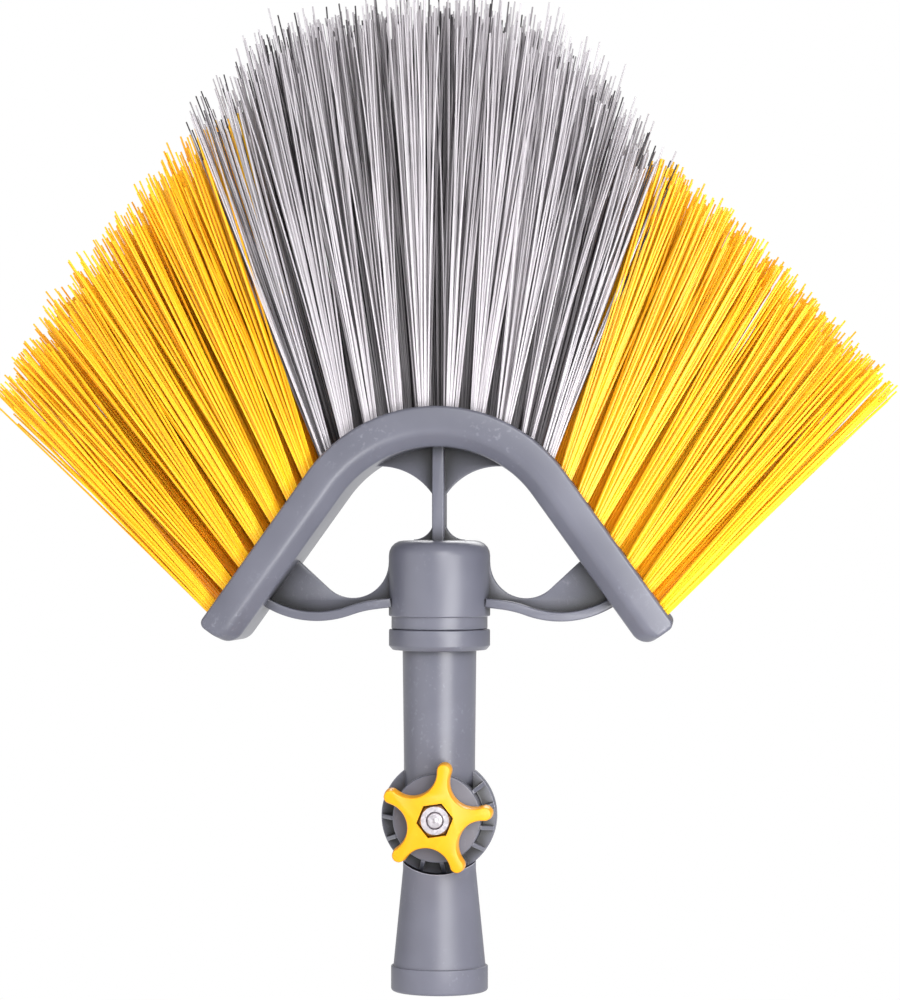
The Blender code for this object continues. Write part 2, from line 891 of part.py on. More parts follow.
def knob_outline():
    """A five-armed star: round tips joined by hollow arcs that touch them."""
    tip_centre = knob_tip_reach - knob_tip_radius
    half_step = math.pi / knob_arms
    shift = knob_valley_radius - knob_tip_radius
    valley_centre = (tip_centre**2 - shift**2) / (2 * (tip_centre * math.cos(half_step) - shift))
    valley_radius = valley_centre - knob_valley_radius
    tip = Vector((tip_centre, 0.0))
    valley = Vector((math.cos(half_step), math.sin(half_step))) * valley_centre
    touch_deg = math.degrees(math.atan2(valley.y - tip.y, valley.x - tip.x))
    valley_deg = math.degrees(math.atan2(tip.y - valley.y, tip.x - valley.x))
    points = []
    for arm in range(knob_arms):
        turn_deg = knob_turn_deg + arm * 360 / knob_arms
        turn = Matrix.Rotation(math.radians(turn_deg), 2)
        piece = arc(tip.x, tip.y, knob_tip_radius, -touch_deg, touch_deg, outline_steps)
        facing_deg = math.degrees(half_step) + 180
        end_deg = 2 * facing_deg - (valley_deg % 360)
        piece += arc(valley.x, valley.y, valley_radius, valley_deg % 360, end_deg, outline_steps)[1:-1]
        points += [tuple(turn @ Vector(point)) for point in piece]
    return [(x, joint_height + z) for x, z in points]


def whole_caps(thing):
    """Joins the triangles of a plate's two flat faces, so that a bevel meets one face on each side."""
    work = bmesh.new()
    work.from_mesh(thing.data)
    limit = math.radians(flat_within_deg)
    bmesh.ops.dissolve_limit(work, angle_limit=limit, verts=work.verts, edges=work.edges)
    work.to_mesh(thing.data)
    work.free()


def make_knob(surface, empty):
    knob = plate("star_knob", [knob_outline()], parts, knob_thickness)
    whole_caps(knob)
    knob.data.transform(Matrix.Translation((0.0, -(knob_back + knob_thickness / 2), 0.0)))
    edge = knob.modifiers.new("edge", "BEVEL")
    edge.width = knob_edge
    edge.segments = 1
    edge.limit_method = "ANGLE"
    edge.angle_limit = math.radians(bevel_above_deg)
    front = (0.0, -knob_face - cut_overrun, joint_height)
    recess_floor = (0.0, -nut_back + touch_gap, joint_height)
    combine(knob, rod_object("nut_recess", front, recess_floor, hex_pocket_radius, 6, cutters), "DIFFERENCE")
    back = (0.0, -knob_back + cut_overrun, joint_height)
    combine(knob, rod_object("knob_hole", front, back, bolt_hole_radius, small_steps, cutters), "DIFFERENCE")
    finish(knob, surface, empty)
    return knob


# The whole brush


def main():
    body_grey = plastic("body_grey", (0.19, 0.20, 0.245), 0.38)
    knob_yellow = plastic("knob_yellow", (0.95, 0.62, 0.02), 0.35)
    bristle_grey = plastic("bristle_grey", (0.58, 0.57, 0.59), 0.45)
    bristle_yellow = plastic("bristle_yellow", (0.93, 0.58, 0.02), 0.45)
    zinc = plastic("zinc_plated_steel", (0.72, 0.70, 0.72), 0.3, 1.0)
    tilt = axis_point("tilt_axis", (0.0, 0.0, joint_height))
    head_turn = axis_point("head_turn_axis", (0.0, 0.0, neck_flange_top), tilt)
    knob_axis = axis_point("knob_axis", (0.0, -knob_back, joint_height))
    make_socket(body_grey)
    make_bolt(zinc)
    make_ring("knob_washer", boss_face + touch_gap, washer_front, washer_radius, small_steps, zinc, knob_axis)
    make_knob(knob_yellow, knob_axis)
    make_ring("clamp_nut", nut_back, nut_face, hex_radius, 6, zinc, knob_axis)
    make_neck(body_grey, tilt)
    make_head(body_grey, head_turn, all_tufts())
    make_rows(bristle_grey, bristle_yellow, head_turn)


main()
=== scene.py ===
# %% [markdown]
# A ceiling brush, dressed around its fixed construction.
#
# The construction is already settled: every piece has its size, its place and its joint. This file only
# gives the pieces their looks. It loads the construction, builds a finer piece over each plain solid, and
# lets that piece ride on the same moving body.
#
# Reading order: small helpers, the stage with its camera and lights, finishes, then the pieces from the head
# down to the pole socket, the knob, and the metal parts last.

import json
import math

import bmesh
import bpy
from mathutils import Matrix, Vector


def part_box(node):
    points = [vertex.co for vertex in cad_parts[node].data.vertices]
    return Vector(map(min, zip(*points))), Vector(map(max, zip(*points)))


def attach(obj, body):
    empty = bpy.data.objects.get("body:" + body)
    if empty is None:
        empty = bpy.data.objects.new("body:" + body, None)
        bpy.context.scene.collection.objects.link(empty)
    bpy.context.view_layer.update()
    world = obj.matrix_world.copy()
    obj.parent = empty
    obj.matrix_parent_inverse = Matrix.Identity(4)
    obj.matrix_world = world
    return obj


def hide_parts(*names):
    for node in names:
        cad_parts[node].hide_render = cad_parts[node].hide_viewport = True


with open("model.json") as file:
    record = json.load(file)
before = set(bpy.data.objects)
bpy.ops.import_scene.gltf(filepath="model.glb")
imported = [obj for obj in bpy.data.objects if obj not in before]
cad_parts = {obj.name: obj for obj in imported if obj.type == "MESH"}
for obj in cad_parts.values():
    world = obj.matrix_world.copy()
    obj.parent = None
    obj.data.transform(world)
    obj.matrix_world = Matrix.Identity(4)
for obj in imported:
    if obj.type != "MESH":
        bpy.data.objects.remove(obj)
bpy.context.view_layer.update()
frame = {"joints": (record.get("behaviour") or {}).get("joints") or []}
joints = {joint["name"]: joint for joint in frame["joints"]}

# %% [markdown]
# Sizes are written in millimetres. Finishes and shapes are both built from nodes, and the helpers below keep
# each node to about one line, so that a tree reads as a short recipe.

# %% Work in millimetres
mm = 0.001
scene = bpy.context.scene
scene.view_settings.view_transform = "Standard"


# %% One helper for every node tree
def node(tree, kind, inputs=None, **settings):
    """Adds one node. Its inputs are given by name or number, each as a value or as a socket to link from."""
    made = tree.nodes.new(kind)
    for key, value in settings.items():
        setattr(made, key, value)
    for key, value in (inputs or {}).items():
        if isinstance(value, bpy.types.NodeSocket):
            tree.links.new(value, made.inputs[key])
        else:
            made.inputs[key].default_value = value
    return made


def maths(tree, operation, *values):
    return node(tree, "ShaderNodeMath", dict(enumerate(values)), operation=operation).outputs[0]


def vector_maths(tree, operation, *vectors):
    return node(tree, "ShaderNodeVectorMath", dict(enumerate(vectors)), operation=operation).outputs[0]


def scaled(tree, vector, factor):
    return node(tree, "ShaderNodeVectorMath", {0: vector, "Scale": factor}, operation="SCALE").outputs[0]


def remap(tree, value, old=(0.0, 1.0), new=(0.0, 1.0), **settings):
    """Stretches one range of numbers to another, and holds what lies outside it at the ends."""
    inputs = {0: value, 1: old[0], 2: old[1], 3: new[0], 4: new[1]}
    return node(tree, "ShaderNodeMapRange", inputs, **settings).outputs[0]


# %% Helpers for finishes and objects
def new_finish(name):
    """A new material with its node tree and its shader."""
    material = bpy.data.materials.new(name)
    material.use_nodes = True
    return material, material.node_tree, material.node_tree.nodes["Principled BSDF"]


def own_place(tree):
    """A point's place in the piece's own coordinates, which stay put when the piece moves."""
    return node(tree, "ShaderNodeTexCoord").outputs["Object"]


def noise(tree, place, size, detail, distortion=0.0):
    """Soft noise from 0 to 1, with blotches of about the given size."""
    inputs = {"Vector": place, "Scale": 1 / size, "Detail": detail, "Distortion": distortion}
    return node(tree, "ShaderNodeTexNoise", inputs).outputs["Fac"]


def blend(tree, share, first, second):
    """A colour between two, from the first at share 0 to the second at share 1."""
    return node(tree, "ShaderNodeMix", {0: share, 6: first, 7: second}, data_type="RGBA").outputs[2]


def relief(tree, height, strength, depth, under=None):
    """A bumpy normal, on top of another one if that is given."""
    inputs = {"Height": height, "Strength": strength, "Distance": depth}
    if under is not None:
        inputs["Normal"] = under
    return node(tree, "ShaderNodeBump", inputs).outputs[0]


def linked(name, data):
    """A new object in the scene."""
    thing = bpy.data.objects.new(name, data)
    scene.collection.objects.link(thing)
    return thing


# %% [markdown]
# The stage is a studio: one pale floor and nothing else. A flat floor would draw a horizon line behind
# the brush. So the floor turns, with distance from the brush, into the same even white as the surroundings,
# and the line is gone from every side. The test is the distance on the floor, never the camera's place.
#
# The brush is held up, as it is on its pole. The floor lies below the lowest point that the head reaches when
# it is tilted as far as it goes, so that no pose dips into it.
#
# A white room would wash out every surface. Seen directly the surroundings are white, but they light the
# brush with only a good third of that, so that the lamps can shape it.

# %% Plain white surroundings
room_light = 0.38
pure_white = (1.0, 1.0, 1.0, 1.0)
surroundings = bpy.data.worlds.new("white_studio")
surroundings.use_nodes = True
scene.world = surroundings
tree = surroundings.node_tree
seen = node(tree, "ShaderNodeLightPath").outputs["Is Camera Ray"]
glow = tree.nodes["Background"]
glow.inputs["Color"].default_value = pure_white
tree.links.new(remap(tree, seen, new=(room_light, 1.0)), glow.inputs["Strength"])

# %% The floor fades into the white
floor_radius = 4000 * mm
floor_drop = 150 * mm
floor_fade = (350 * mm, 1100 * mm)
bpy.ops.mesh.primitive_circle_add(
    vertices=96, radius=floor_radius, fill_type="NGON", location=(0.0, 0.0, -floor_drop)
)
floor = bpy.context.object
floor.name = "floor"
floor_finish, tree, shader = new_finish("pale_floor")
shader.inputs["Base Color"].default_value = (0.88, 0.88, 0.88, 1.0)
shader.inputs["Roughness"].default_value = 0.8
distance = node(tree, "ShaderNodeVectorMath", {0: own_place(tree)}, operation="LENGTH").outputs["Value"]
share = remap(tree, distance, floor_fade, interpolation_type="SMOOTHSTEP")
white = node(tree, "ShaderNodeEmission", {"Color": pure_white, "Strength": 1.0}).outputs[0]
mixed = node(tree, "ShaderNodeMixShader", {0: share, 1: shader.outputs[0], 2: white}).outputs[0]
tree.links.new(mixed, tree.nodes["Material Output"].inputs["Surface"])
floor.data.materials.append(floor_finish)

# %% [markdown]
# The photograph was taken from about the height of the brush's middle, a few degrees round to the right, with
# a long lens. The picture's scale at the brush gives the lens: the picture's long side shows a known height
# at a known distance.

# %% The camera
picture_scale = 0.355 * mm
picture_height_px = 1000
picture_middle_px = 450
pole_axis_px = 439.5
camera_distance = 1300 * mm
camera_height = 174 * mm
camera_azimuth = math.radians(4.0)
camera_data = bpy.data.cameras.new("camera")
camera_data.lens = camera_data.sensor_width * camera_distance / (picture_scale * picture_height_px)
camera = linked("camera", camera_data)
rightwards = Vector((math.cos(camera_azimuth), math.sin(camera_azimuth), 0.0))
forwards = Vector((-math.sin(camera_azimuth), math.cos(camera_azimuth), 0.0))
aside = rightwards * (picture_middle_px - pole_axis_px) * picture_scale
camera.location = Vector((0.0, 0.0, camera_height)) + aside - forwards * camera_distance
camera.rotation_euler = (math.radians(90), 0.0, camera_azimuth)
scene.camera = camera
print("lens in mm:", round(camera_data.lens, 1))

# %% [markdown]
# Five soft lamps light the brush. The photo's highlights are narrow: one follows the ridge of the left leg,
# and one runs down the neck. So the strip lamp is narrow, near, and parallel to the left leg. The front lamp
# gives the general light, the left and the top lamp fill the shaded sides, and the one behind lifts the rear.


# %% Soft lights
def soft_light(name, place, width, height, power, length_axis=None):
    """A rectangular lamp that faces the middle of the brush, upright or with its height along an axis."""
    lamp = bpy.data.lights.new(name, "AREA")
    lamp.shape = "RECTANGLE"
    lamp.size = width
    lamp.size_y = height
    lamp.energy = power
    holder = linked(name, lamp)
    holder.location = place
    holder.visible_camera = False
    away = (Vector(place) - Vector((0.0, 0.0, camera_height))).normalized()
    across = (length_axis or Vector((0.0, 0.0, 1.0))).cross(away).normalized()
    along = away.cross(across)
    if length_axis:
        along = length_axis.normalized()
        away = across.cross(along)
    holder.rotation_euler = Matrix((across, along, away)).transposed().to_euler()


left_leg = Vector((0.616, 0.0, 0.788))
soft_light("strip", (121 * mm, -198 * mm, 109 * mm), 105 * mm, 230 * mm, 0.55, left_leg)
soft_light("front", (450 * mm, -1650 * mm, 760 * mm), 900 * mm, 1000 * mm, 22)
soft_light("left", (-900 * mm, -700 * mm, 300 * mm), 1200 * mm, 1000 * mm, 4.0)
soft_light("top", (0.0, 300 * mm, 1500 * mm), 900 * mm, 700 * mm, 8)
soft_light("behind", (200 * mm, 1500 * mm, 1300 * mm), 1100 * mm, 900 * mm, 18)

# %% [markdown]
# The moulded parts are blue-grey plastic. Real mouldings are never one even colour: the melt leaves broad
# flow marks, use leaves small pale scuffs, and the tool's surface leaves a fine grain. Each is a layer of
# noise of its own size. Corners get painted shade, darker because little light reaches them. Sharp edges are
# painted pale, partly as wear and partly as a painted highlight.
#
# The roughness stays above 0.28 everywhere. Below that the renderer's noise filter takes a surface for a
# mirror, and a roughness that wanders across the limit gets an outline there.


# %% Moulded plastic
flow_blur = (-0.035, 0.05)
scuff_size = 1.6 * mm
scuffed_area = 17 * mm
worn_width = 0.6 * mm
grain_size = 0.35 * mm
ripple_size = 6 * mm
ripple_depth = 0.12 * mm


def edge_share(tree, width):
    """How near a point is to a sharp edge: rounding the normal over a small width changes it only there."""
    true_normal = node(tree, "ShaderNodeNewGeometry").outputs["Normal"]
    soft_normal = node(tree, "ShaderNodeBevel", {"Radius": width}, samples=8).outputs[0]
    both = {0: true_normal, 1: soft_normal}
    alike = node(tree, "ShaderNodeVectorMath", both, operation="DOT_PRODUCT").outputs["Value"]
    return remap(tree, alike, (0.99, 0.85))


def open_share(tree, distance):
    """How open a point is to the light around it: 1 on a free face and near 0 deep in a corner."""
    reach = {"Distance": distance}
    return node(tree, "ShaderNodeAmbientOcclusion", reach, samples=12, only_local=True).outputs["AO"]


def moulded_plastic(
    name, dark, light, scuff_and_edge_highlight_colour, painted_crevice_shade, roughness, flow_size, grain_depth, crevice_shade_reach, pale_edge_wear_and_highlight, shine=0.5
):
    """Plastic with broad flow marks, sparse pale scuffs, painted shade in its crevices, pale edges that are
    partly wear and partly a painted highlight, and a fine grain.
    """
    material, tree, shader = new_finish(name)
    shader.inputs["Specular IOR Level"].default_value = shine
    place = own_place(tree)
    flow = noise(tree, place, flow_size, 3.0, 0.3)
    base = blend(tree, remap(tree, flow, (0.3, 0.7)), dark, light)
    marks = noise(tree, place, scuff_size, 2.0, 0.2)
    scuffed_here = remap(tree, noise(tree, place, scuffed_area, 1.0), (0.5, 0.66))
    scuffs = maths(tree, "MULTIPLY", remap(tree, marks, (0.58, 0.80), (0.0, 0.3)), scuffed_here)
    free = open_share(tree, crevice_shade_reach)
    # pale edges: partly wear, partly a painted highlight
    edges = maths(tree, "MULTIPLY", edge_share(tree, worn_width), remap(tree, free, (0.3, 0.6)))
    uneven = remap(tree, marks, new=(0.4 * pale_edge_wear_and_highlight, 1.6 * pale_edge_wear_and_highlight))
    pale_wear_and_edge_highlight = maths(tree, "MAXIMUM", scuffs, maths(tree, "MULTIPLY", edges, uneven))
    # painted shade: the colour darkens toward the shade colour where little light reaches, in crevices and
    # corners
    deep = remap(tree, free, (0.40, 0.87), (1.0, 0.0))
    colour = blend(tree, deep, blend(tree, pale_wear_and_edge_highlight, base, scuff_and_edge_highlight_colour), painted_crevice_shade)
    tree.links.new(colour, shader.inputs["Base Color"])
    blur = remap(tree, flow, (0.25, 0.75), [roughness + change for change in flow_blur])
    tree.links.new(blur, shader.inputs["Roughness"])
    grain = relief(tree, noise(tree, place, grain_size, 2.0), 0.12, grain_depth)
    ripple = relief(tree, noise(tree, place, ripple_size, 1.0), 0.5, ripple_depth, grain)
    tree.links.new(ripple, shader.inputs["Normal"])
    return material


# %% [markdown]
# The pole socket is a moulding of its own, and in the photo it is a little paler and duller than the head and
# the neck. The duller surface is its own; the paler colour is partly painted light, as the lower parts are
# more brightly lit. The knob is a smoother yellow plastic, with small corners and hardly any wear.

# %% The three plastics
blue_grey = {
    # the colour of the pale scuffs, and of the edges painted pale as wear and as a highlight
    "scuff_and_edge_highlight_colour": (0.34, 0.34, 0.40, 1.0),
    # the colour of the painted shade in corners and crevices
    "painted_crevice_shade": (0.006, 0.006, 0.008, 1.0),
    "flow_size": 28 * mm,
    "grain_depth": 0.02 * mm,
    # how far from a surface the painted shade looks for nearby walls
    "crevice_shade_reach": 20 * mm,
    # strength of the pale edges, partly wear and partly painted highlight
    "pale_edge_wear_and_highlight": 1.0,
}
body_plastic = moulded_plastic(
    "blue_grey_plastic",
    dark=(0.094, 0.096, 0.123, 1.0),
    light=(0.121, 0.123, 0.156, 1.0),
    roughness=0.32,
    **blue_grey,
)
# paler than the body plastic, partly as painted light on the brighter lower parts
socket_plastic = moulded_plastic(
    "blue_grey_plastic_dull",
    dark=(0.112, 0.114, 0.146, 1.0),
    light=(0.142, 0.144, 0.184, 1.0),
    roughness=0.44,
    **blue_grey,
)
knob_plastic = moulded_plastic(
    "yellow_knob_plastic",
    dark=(0.71, 0.305, 0.001, 1.0),
    light=(0.79, 0.350, 0.002, 1.0),
    # the colour of the scuffs and of the pale edges, partly wear and partly painted highlight
    scuff_and_edge_highlight_colour=(0.98, 0.64, 0.09, 1.0),
    # the colour of the painted shade in the knob's recesses
    painted_crevice_shade=(0.30, 0.11, 0.002, 1.0),
    roughness=0.34,
    flow_size=9 * mm,
    grain_depth=0.015 * mm,
    # how far the painted shade in the knob's recesses reaches
    crevice_shade_reach=4 * mm,
    # strength of the knob's pale edges, partly wear and partly painted highlight
    pale_edge_wear_and_highlight=0.12,
    shine=0.3,
)

# %% [markdown]
# Zinc plating on small steel parts is bright and slightly uneven. Its crystals show as faint patches, which
# Voronoi cells draw well, and its surface has a fine grain.

# %% Zinc-plated steel
crystal_size = 0.9 * mm
zinc_grain_size = 0.2 * mm
zinc_grain_depth = 0.02 * mm
zinc, tree, shader = new_finish("zinc_plating")
shader.inputs["Metallic"].default_value = 1.0
place = own_place(tree)
cells = node(tree, "ShaderNodeTexVoronoi", {"Vector": place, "Scale": 1 / crystal_size}).outputs["Color"]
patch = node(tree, "ShaderNodeSeparateColor", {0: cells}).outputs[0]
colour = blend(tree, patch, (0.41, 0.385, 0.41, 1.0), (0.53, 0.50, 0.53, 1.0))
tree.links.new(colour, shader.inputs["Base Color"])
tree.links.new(remap(tree, patch, new=(0.29, 0.42)), shader.inputs["Roughness"])
grain = relief(tree, noise(tree, place, zinc_grain_size, 3.0), 0.3, zinc_grain_depth)
tree.links.new(grain, shader.inputs["Normal"])

# %% [markdown]
# Bristles are plastic filaments, each a slightly different shade. Three attributes carry that from the
# geometry to the finish: "shade", one number for each filament; "along", from 0 at the root to 1 at the tip;
# and "inner", which is 0 in the front and the back row and between a half and 1, by tuft, in the rows between
# them. Little light reaches the roots of those rows, so a painted shadow darkens them.

# %% Bristle filament
deep_until = 0.16
middle_at = 0.28
root_shadow = 0.95
streak_size = 14 * mm
streak_range = (0.86, 1.12)
filament_roughness = 0.42


def filament_finish(name, shadow, shadow_end, deep, middle, bright, tip):
    """Three shades for single filaments, a painted shadow that rises from the roots in the hidden rows, and
    the share of its brightness that a filament keeps at its tip."""
    material, tree, shader = new_finish(name)
    shade, along, inner = [
        node(tree, "ShaderNodeAttribute", attribute_name=label).outputs["Fac"]
        for label in ("shade", "along", "inner")
    ]
    ramp = node(tree, "ShaderNodeValToRGB", {"Fac": shade})
    stops = ramp.color_ramp.elements
    stops[0].position = deep_until
    stops[0].color = deep
    stops[1].color = bright
    stops.new(middle_at).color = middle
    uneven = remap(tree, noise(tree, own_place(tree), streak_size, 2.0), new=streak_range)
    level = maths(tree, "MULTIPLY", uneven, remap(tree, along, new=(1.0, tip)))
    # painted shadow: the roots of the hidden rows are darkened toward the shadow colour
    near_root = remap(tree, along, (0.0, shadow_end), (root_shadow, 0.0))
    hidden = maths(tree, "MULTIPLY", near_root, inner)
    colour = blend(tree, hidden, scaled(tree, ramp.outputs["Color"], level), shadow)
    tree.links.new(colour, shader.inputs["Base Color"])
    shader.inputs["Roughness"].default_value = filament_roughness
    return material


grey_filament = filament_finish(
    "grey_filament",
    shadow=(0.022, 0.019, 0.022, 1.0),
    shadow_end=0.8,
    # the darkest grey filaments are painted shade: they stand for the dark gaps between filaments
    deep=(0.035, 0.030, 0.035, 1.0),
    middle=(0.47, 0.440, 0.47, 1.0),
    bright=(0.70, 0.67, 0.705, 1.0),
    tip=0.88,
)
yellow_filament = filament_finish(
    "yellow_filament",
    shadow=(0.95, 0.33, 0.003, 1.0),
    shadow_end=0.6,
    deep=(0.86, 0.40, 0.004, 1.0),
    middle=(0.96, 0.505, 0.006, 1.0),
    bright=(0.97, 0.585, 0.020, 1.0),
    tip=1.0,
)
print("finishes:", [material.name for material in bpy.data.materials])

# %% [markdown]
# A few helpers turn outlines into meshes. A turned part is a profile with a Screw modifier. A flat part is a
# filled curve, whose own bevel rounds its rim. Both are baked to plain meshes at once, so that they can be
# joined and cut.

# %% From a working mesh to an object
weld = 0.002 * mm
small_curve_deg = 32


def object_from(work, name):
    """Makes an object from a bmesh, with doubles merged and faces pointing out."""
    bmesh.ops.remove_doubles(work, verts=work.verts, dist=weld)
    bmesh.ops.recalc_face_normals(work, faces=work.faces)
    mesh = bpy.data.meshes.new(name)
    work.to_mesh(mesh)
    work.free()
    return linked(name, mesh)


def skinned(name, rings):
    """A solid between closed rings of as many points each, capped at both ends."""
    work = bmesh.new()
    rings = [[work.verts.new(spot) for spot in ring] for ring in rings]
    for low, high in zip(rings, rings[1:]):
        for i in range(len(low)):
            after = (i + 1) % len(low)
            work.faces.new((low[i], low[after], high[after], high[i]))
    work.faces.new(rings[0])
    work.faces.new(rings[-1])
    return object_from(work, name)


def plain(source, turn=None):
    """The finished shape of a curve, or of an object with modifiers, as a plain mesh at the origin."""
    bpy.context.view_layer.update()
    graph = bpy.context.evaluated_depsgraph_get()
    mesh = bpy.data.meshes.new_from_object(source.evaluated_get(graph), depsgraph=graph)
    name = source.name
    place = source.matrix_world.copy()
    bpy.data.objects.remove(source, do_unlink=True)
    work = bmesh.new()
    work.from_mesh(mesh)
    bpy.data.meshes.remove(mesh)
    work.transform((turn or Matrix.Identity(4)) @ place)
    return object_from(work, name)


# %% Round corners of an outline
def corner_arc(before, corner, after, radius, steps):
    """The fillet that replaces one corner of a flat outline."""
    corner = Vector(corner)
    back = (Vector(before) - corner).normalized()
    ahead = (Vector(after) - corner).normalized()
    half = back.angle(ahead) / 2
    centre = corner + (back + ahead).normalized() * radius / math.sin(half)
    first = corner + back * radius / math.tan(half) - centre
    last = corner + ahead * radius / math.tan(half) - centre
    turns = [first.slerp(last, step / steps).normalized() * radius for step in range(steps + 1)]
    return [tuple(centre + turn) for turn in turns]


def rounded(corners, steps=5, closed=True):
    """An outline from (point, radius) pairs. A corner with radius 0 stays sharp."""
    outline = []
    for i, (corner, radius) in enumerate(corners):
        ends = not closed and i in (0, len(corners) - 1)
        if ends or radius == 0:
            outline.append(tuple(corner))
            continue
        before = corners[i - 1][0]
        after = corners[(i + 1) % len(corners)][0]
        outline += corner_arc(before, corner, after, radius, steps)
    return outline


def arc(centre, radius, from_deg, to_deg, steps):
    """Points of a circular arc."""
    turns = [math.radians(from_deg + (to_deg - from_deg) * step / steps) for step in range(steps + 1)]
    return [(centre[0] + radius * math.cos(turn), centre[1] + radius * math.sin(turn)) for turn in turns]


# %% Turned parts and plates
turning_steps = 96


def turned(name, corners, turn=None, steps=turning_steps):
    """Turns a profile of ((radius, height), fillet) pairs about Z. The profile runs down its outer side."""
    profile = rounded(corners, closed=False)
    mesh = bpy.data.meshes.new(name)
    edges = [(i, i + 1) for i in range(len(profile) - 1)]
    mesh.from_pydata([(radius, 0.0, height) for radius, height in profile], edges, [])
    thing = linked(name, mesh)
    screw = thing.modifiers.new("turn", "SCREW")
    screw.steps = screw.render_steps = steps
    screw.use_merge_vertices = True
    screw.merge_threshold = weld
    return plain(thing, turn)


def plate(name, outlines, depth, rim):
    """Makes flat (x, z) outlines a plate centred on y = 0, with its rims rounded by a radius."""
    flat = bpy.data.curves.new(name, "CURVE")
    flat.dimensions = "2D"
    flat.fill_mode = "BOTH"
    flat.extrude = depth / 2 - rim
    flat.bevel_depth = rim
    flat.bevel_resolution = 2
    flat.offset = -rim
    for outline in outlines:
        spline = flat.splines.new("POLY")
        spline.points.add(len(outline) - 1)
        for point, (x, z) in zip(spline.points, outline):
            point.co = (x, z, 0.0, 1.0)
        spline.use_cyclic_u = True
    return plain(linked(name, flat), Matrix.Rotation(math.pi / 2, 4, "X"))


def prism(name, start, end, radius, sides, end_radius=None, spin=0.0):
    """A straight prism, or a cone, between two points, spun about its own axis."""
    work = bmesh.new()
    start, end = Vector(start), Vector(end)
    turn = (end - start).to_track_quat("Z", "Y").to_matrix().to_4x4()
    bmesh.ops.create_cone(
        work,
        cap_ends=True,
        segments=sides,
        radius1=radius,
        radius2=radius if end_radius is None else end_radius,
        depth=(end - start).length,
        matrix=Matrix.Translation((start + end) / 2) @ turn @ Matrix.Rotation(spin, 4, "Z"),
    )
    return object_from(work, name)


# %% Join and cut
def join(*tools):
    return [("UNION", tool) for tool in tools]


def cut(*tools):
    return [("DIFFERENCE", tool) for tool in tools]


def combined(base, steps):
    """Joins tools to a base, or cuts it with them, in order, and returns the plain result."""
    for operation, tool in steps:
        change = base.modifiers.new(tool.name, "BOOLEAN")
        change.operation = operation
        change.object = tool
    result = plain(base)
    for _, tool in steps:
        bpy.data.objects.remove(tool, do_unlink=True)
    return result


# %% Hand a finished piece to its body
def belongs(thing, body, slot, finish, *nodes):
    """Gives a piece its finish and its body, and hides the plain solids that it stands for. Its slot is not
    used.
    """
    thing.data.materials.clear()
    thing.data.materials.append(finish)
    thing.data.shade_smooth()
    thing.data.set_sharp_from_angle(angle=math.radians(small_curve_deg))
    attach(thing, body)
    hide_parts(*nodes)
    print(thing.name, "on", body, "with", len(thing.data.polygons), "faces")


# %% [markdown]
# The head is one moulding. Its bar is an arch with two straight legs, and everything on it is measured along
# the bar's outer face. So one function gives the point, the direction and the inward normal at any length
# from the top of the arch, and the bar, its holes and its bristles all use it.

# %% The arch, measured along its outer face
arch_radius = 55.7 * mm
arch_apex = 207.0 * mm
arch_half = math.radians(54.3)
leg_length = 66.0 * mm
arch_centre_z = arch_apex - arch_radius
arch_part = arch_radius * arch_half
bar_half_length = arch_part + leg_length


def on_arch(along):
    """Point on the bar's outer face, direction along it, and inward normal."""
    side = math.copysign(1.0, along)
    angle = min(abs(along) / arch_radius, arch_half)
    outward = Vector((side * math.sin(angle), 0.0, math.cos(angle)))
    ahead = Vector((math.cos(angle), 0.0, -side * math.sin(angle)))
    point = Vector((0.0, 0.0, arch_centre_z)) + outward * arch_radius
    return point + ahead * side * max(0.0, abs(along) - arch_part), ahead, -outward


print("bar's length in mm:", round(2000 * bar_half_length, 1))

# %% [markdown]
# The bar's section is a flat face at the bristles and a crowned inner side: broad chamfers at front and back,
# run into each other by soft fillets. The section is carried along the arch, and near each end it is drawn
# in, so that the legs end in a rounded corner.

# %% The bar's section
bar_front, bar_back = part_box("brush_head")[0].y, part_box("brush_head")[1].y
bar_face = 9.1 * mm
bar_thickness = 14.1 * mm
bar_back_thickness = 14.9 * mm
chamfer_depth = 5.5 * mm
chamfer_fillet = 5.0 * mm
outer_fillet = 1.2 * mm
crown_fillet = 3.0 * mm
section = rounded(
    [
        ((0.0, bar_front), outer_fillet),
        ((bar_face, bar_front), chamfer_fillet),
        ((bar_thickness, bar_front + chamfer_depth), crown_fillet),
        ((bar_back_thickness, bar_back - chamfer_depth), crown_fillet),
        ((bar_face + bar_back_thickness - bar_thickness, bar_back), chamfer_fillet),
        ((0.0, bar_back), outer_fillet),
    ],
    steps=6,
)

# %% The bar's rounded ends
end_inner_round = 6.0 * mm
end_outer_round = 2.6 * mm
end_face_round = 1.2 * mm


def drawn_in(along, radius):
    """How far a surface is drawn in, near the bar's end, by an edge of this radius."""
    into = max(0.0, abs(along) - (bar_half_length - radius)) / radius
    return radius * (1 - math.sqrt(max(0.0, 1 - into**2)))


def section_at(along):
    outer = drawn_in(along, end_outer_round)
    thin = 1 - (outer + drawn_in(along, end_inner_round)) / bar_back_thickness
    narrow = 1 - drawn_in(along, end_face_round) / bar_back
    return [(outer + depth * thin, y * narrow) for depth, y in section]


# %% Carry a section along the arch
arch_stations = 72
leg_stations = 8
end_stations = 10
end_share = 0.985


def swept(name, places):
    """The bar's section carried along the arch."""
    rings = []
    for along in places:
        point, _, inward = on_arch(along)
        rings.append([point + inward * depth + Vector((0.0, y, 0.0)) for depth, y in section_at(along)])
    return skinned(name, rings)


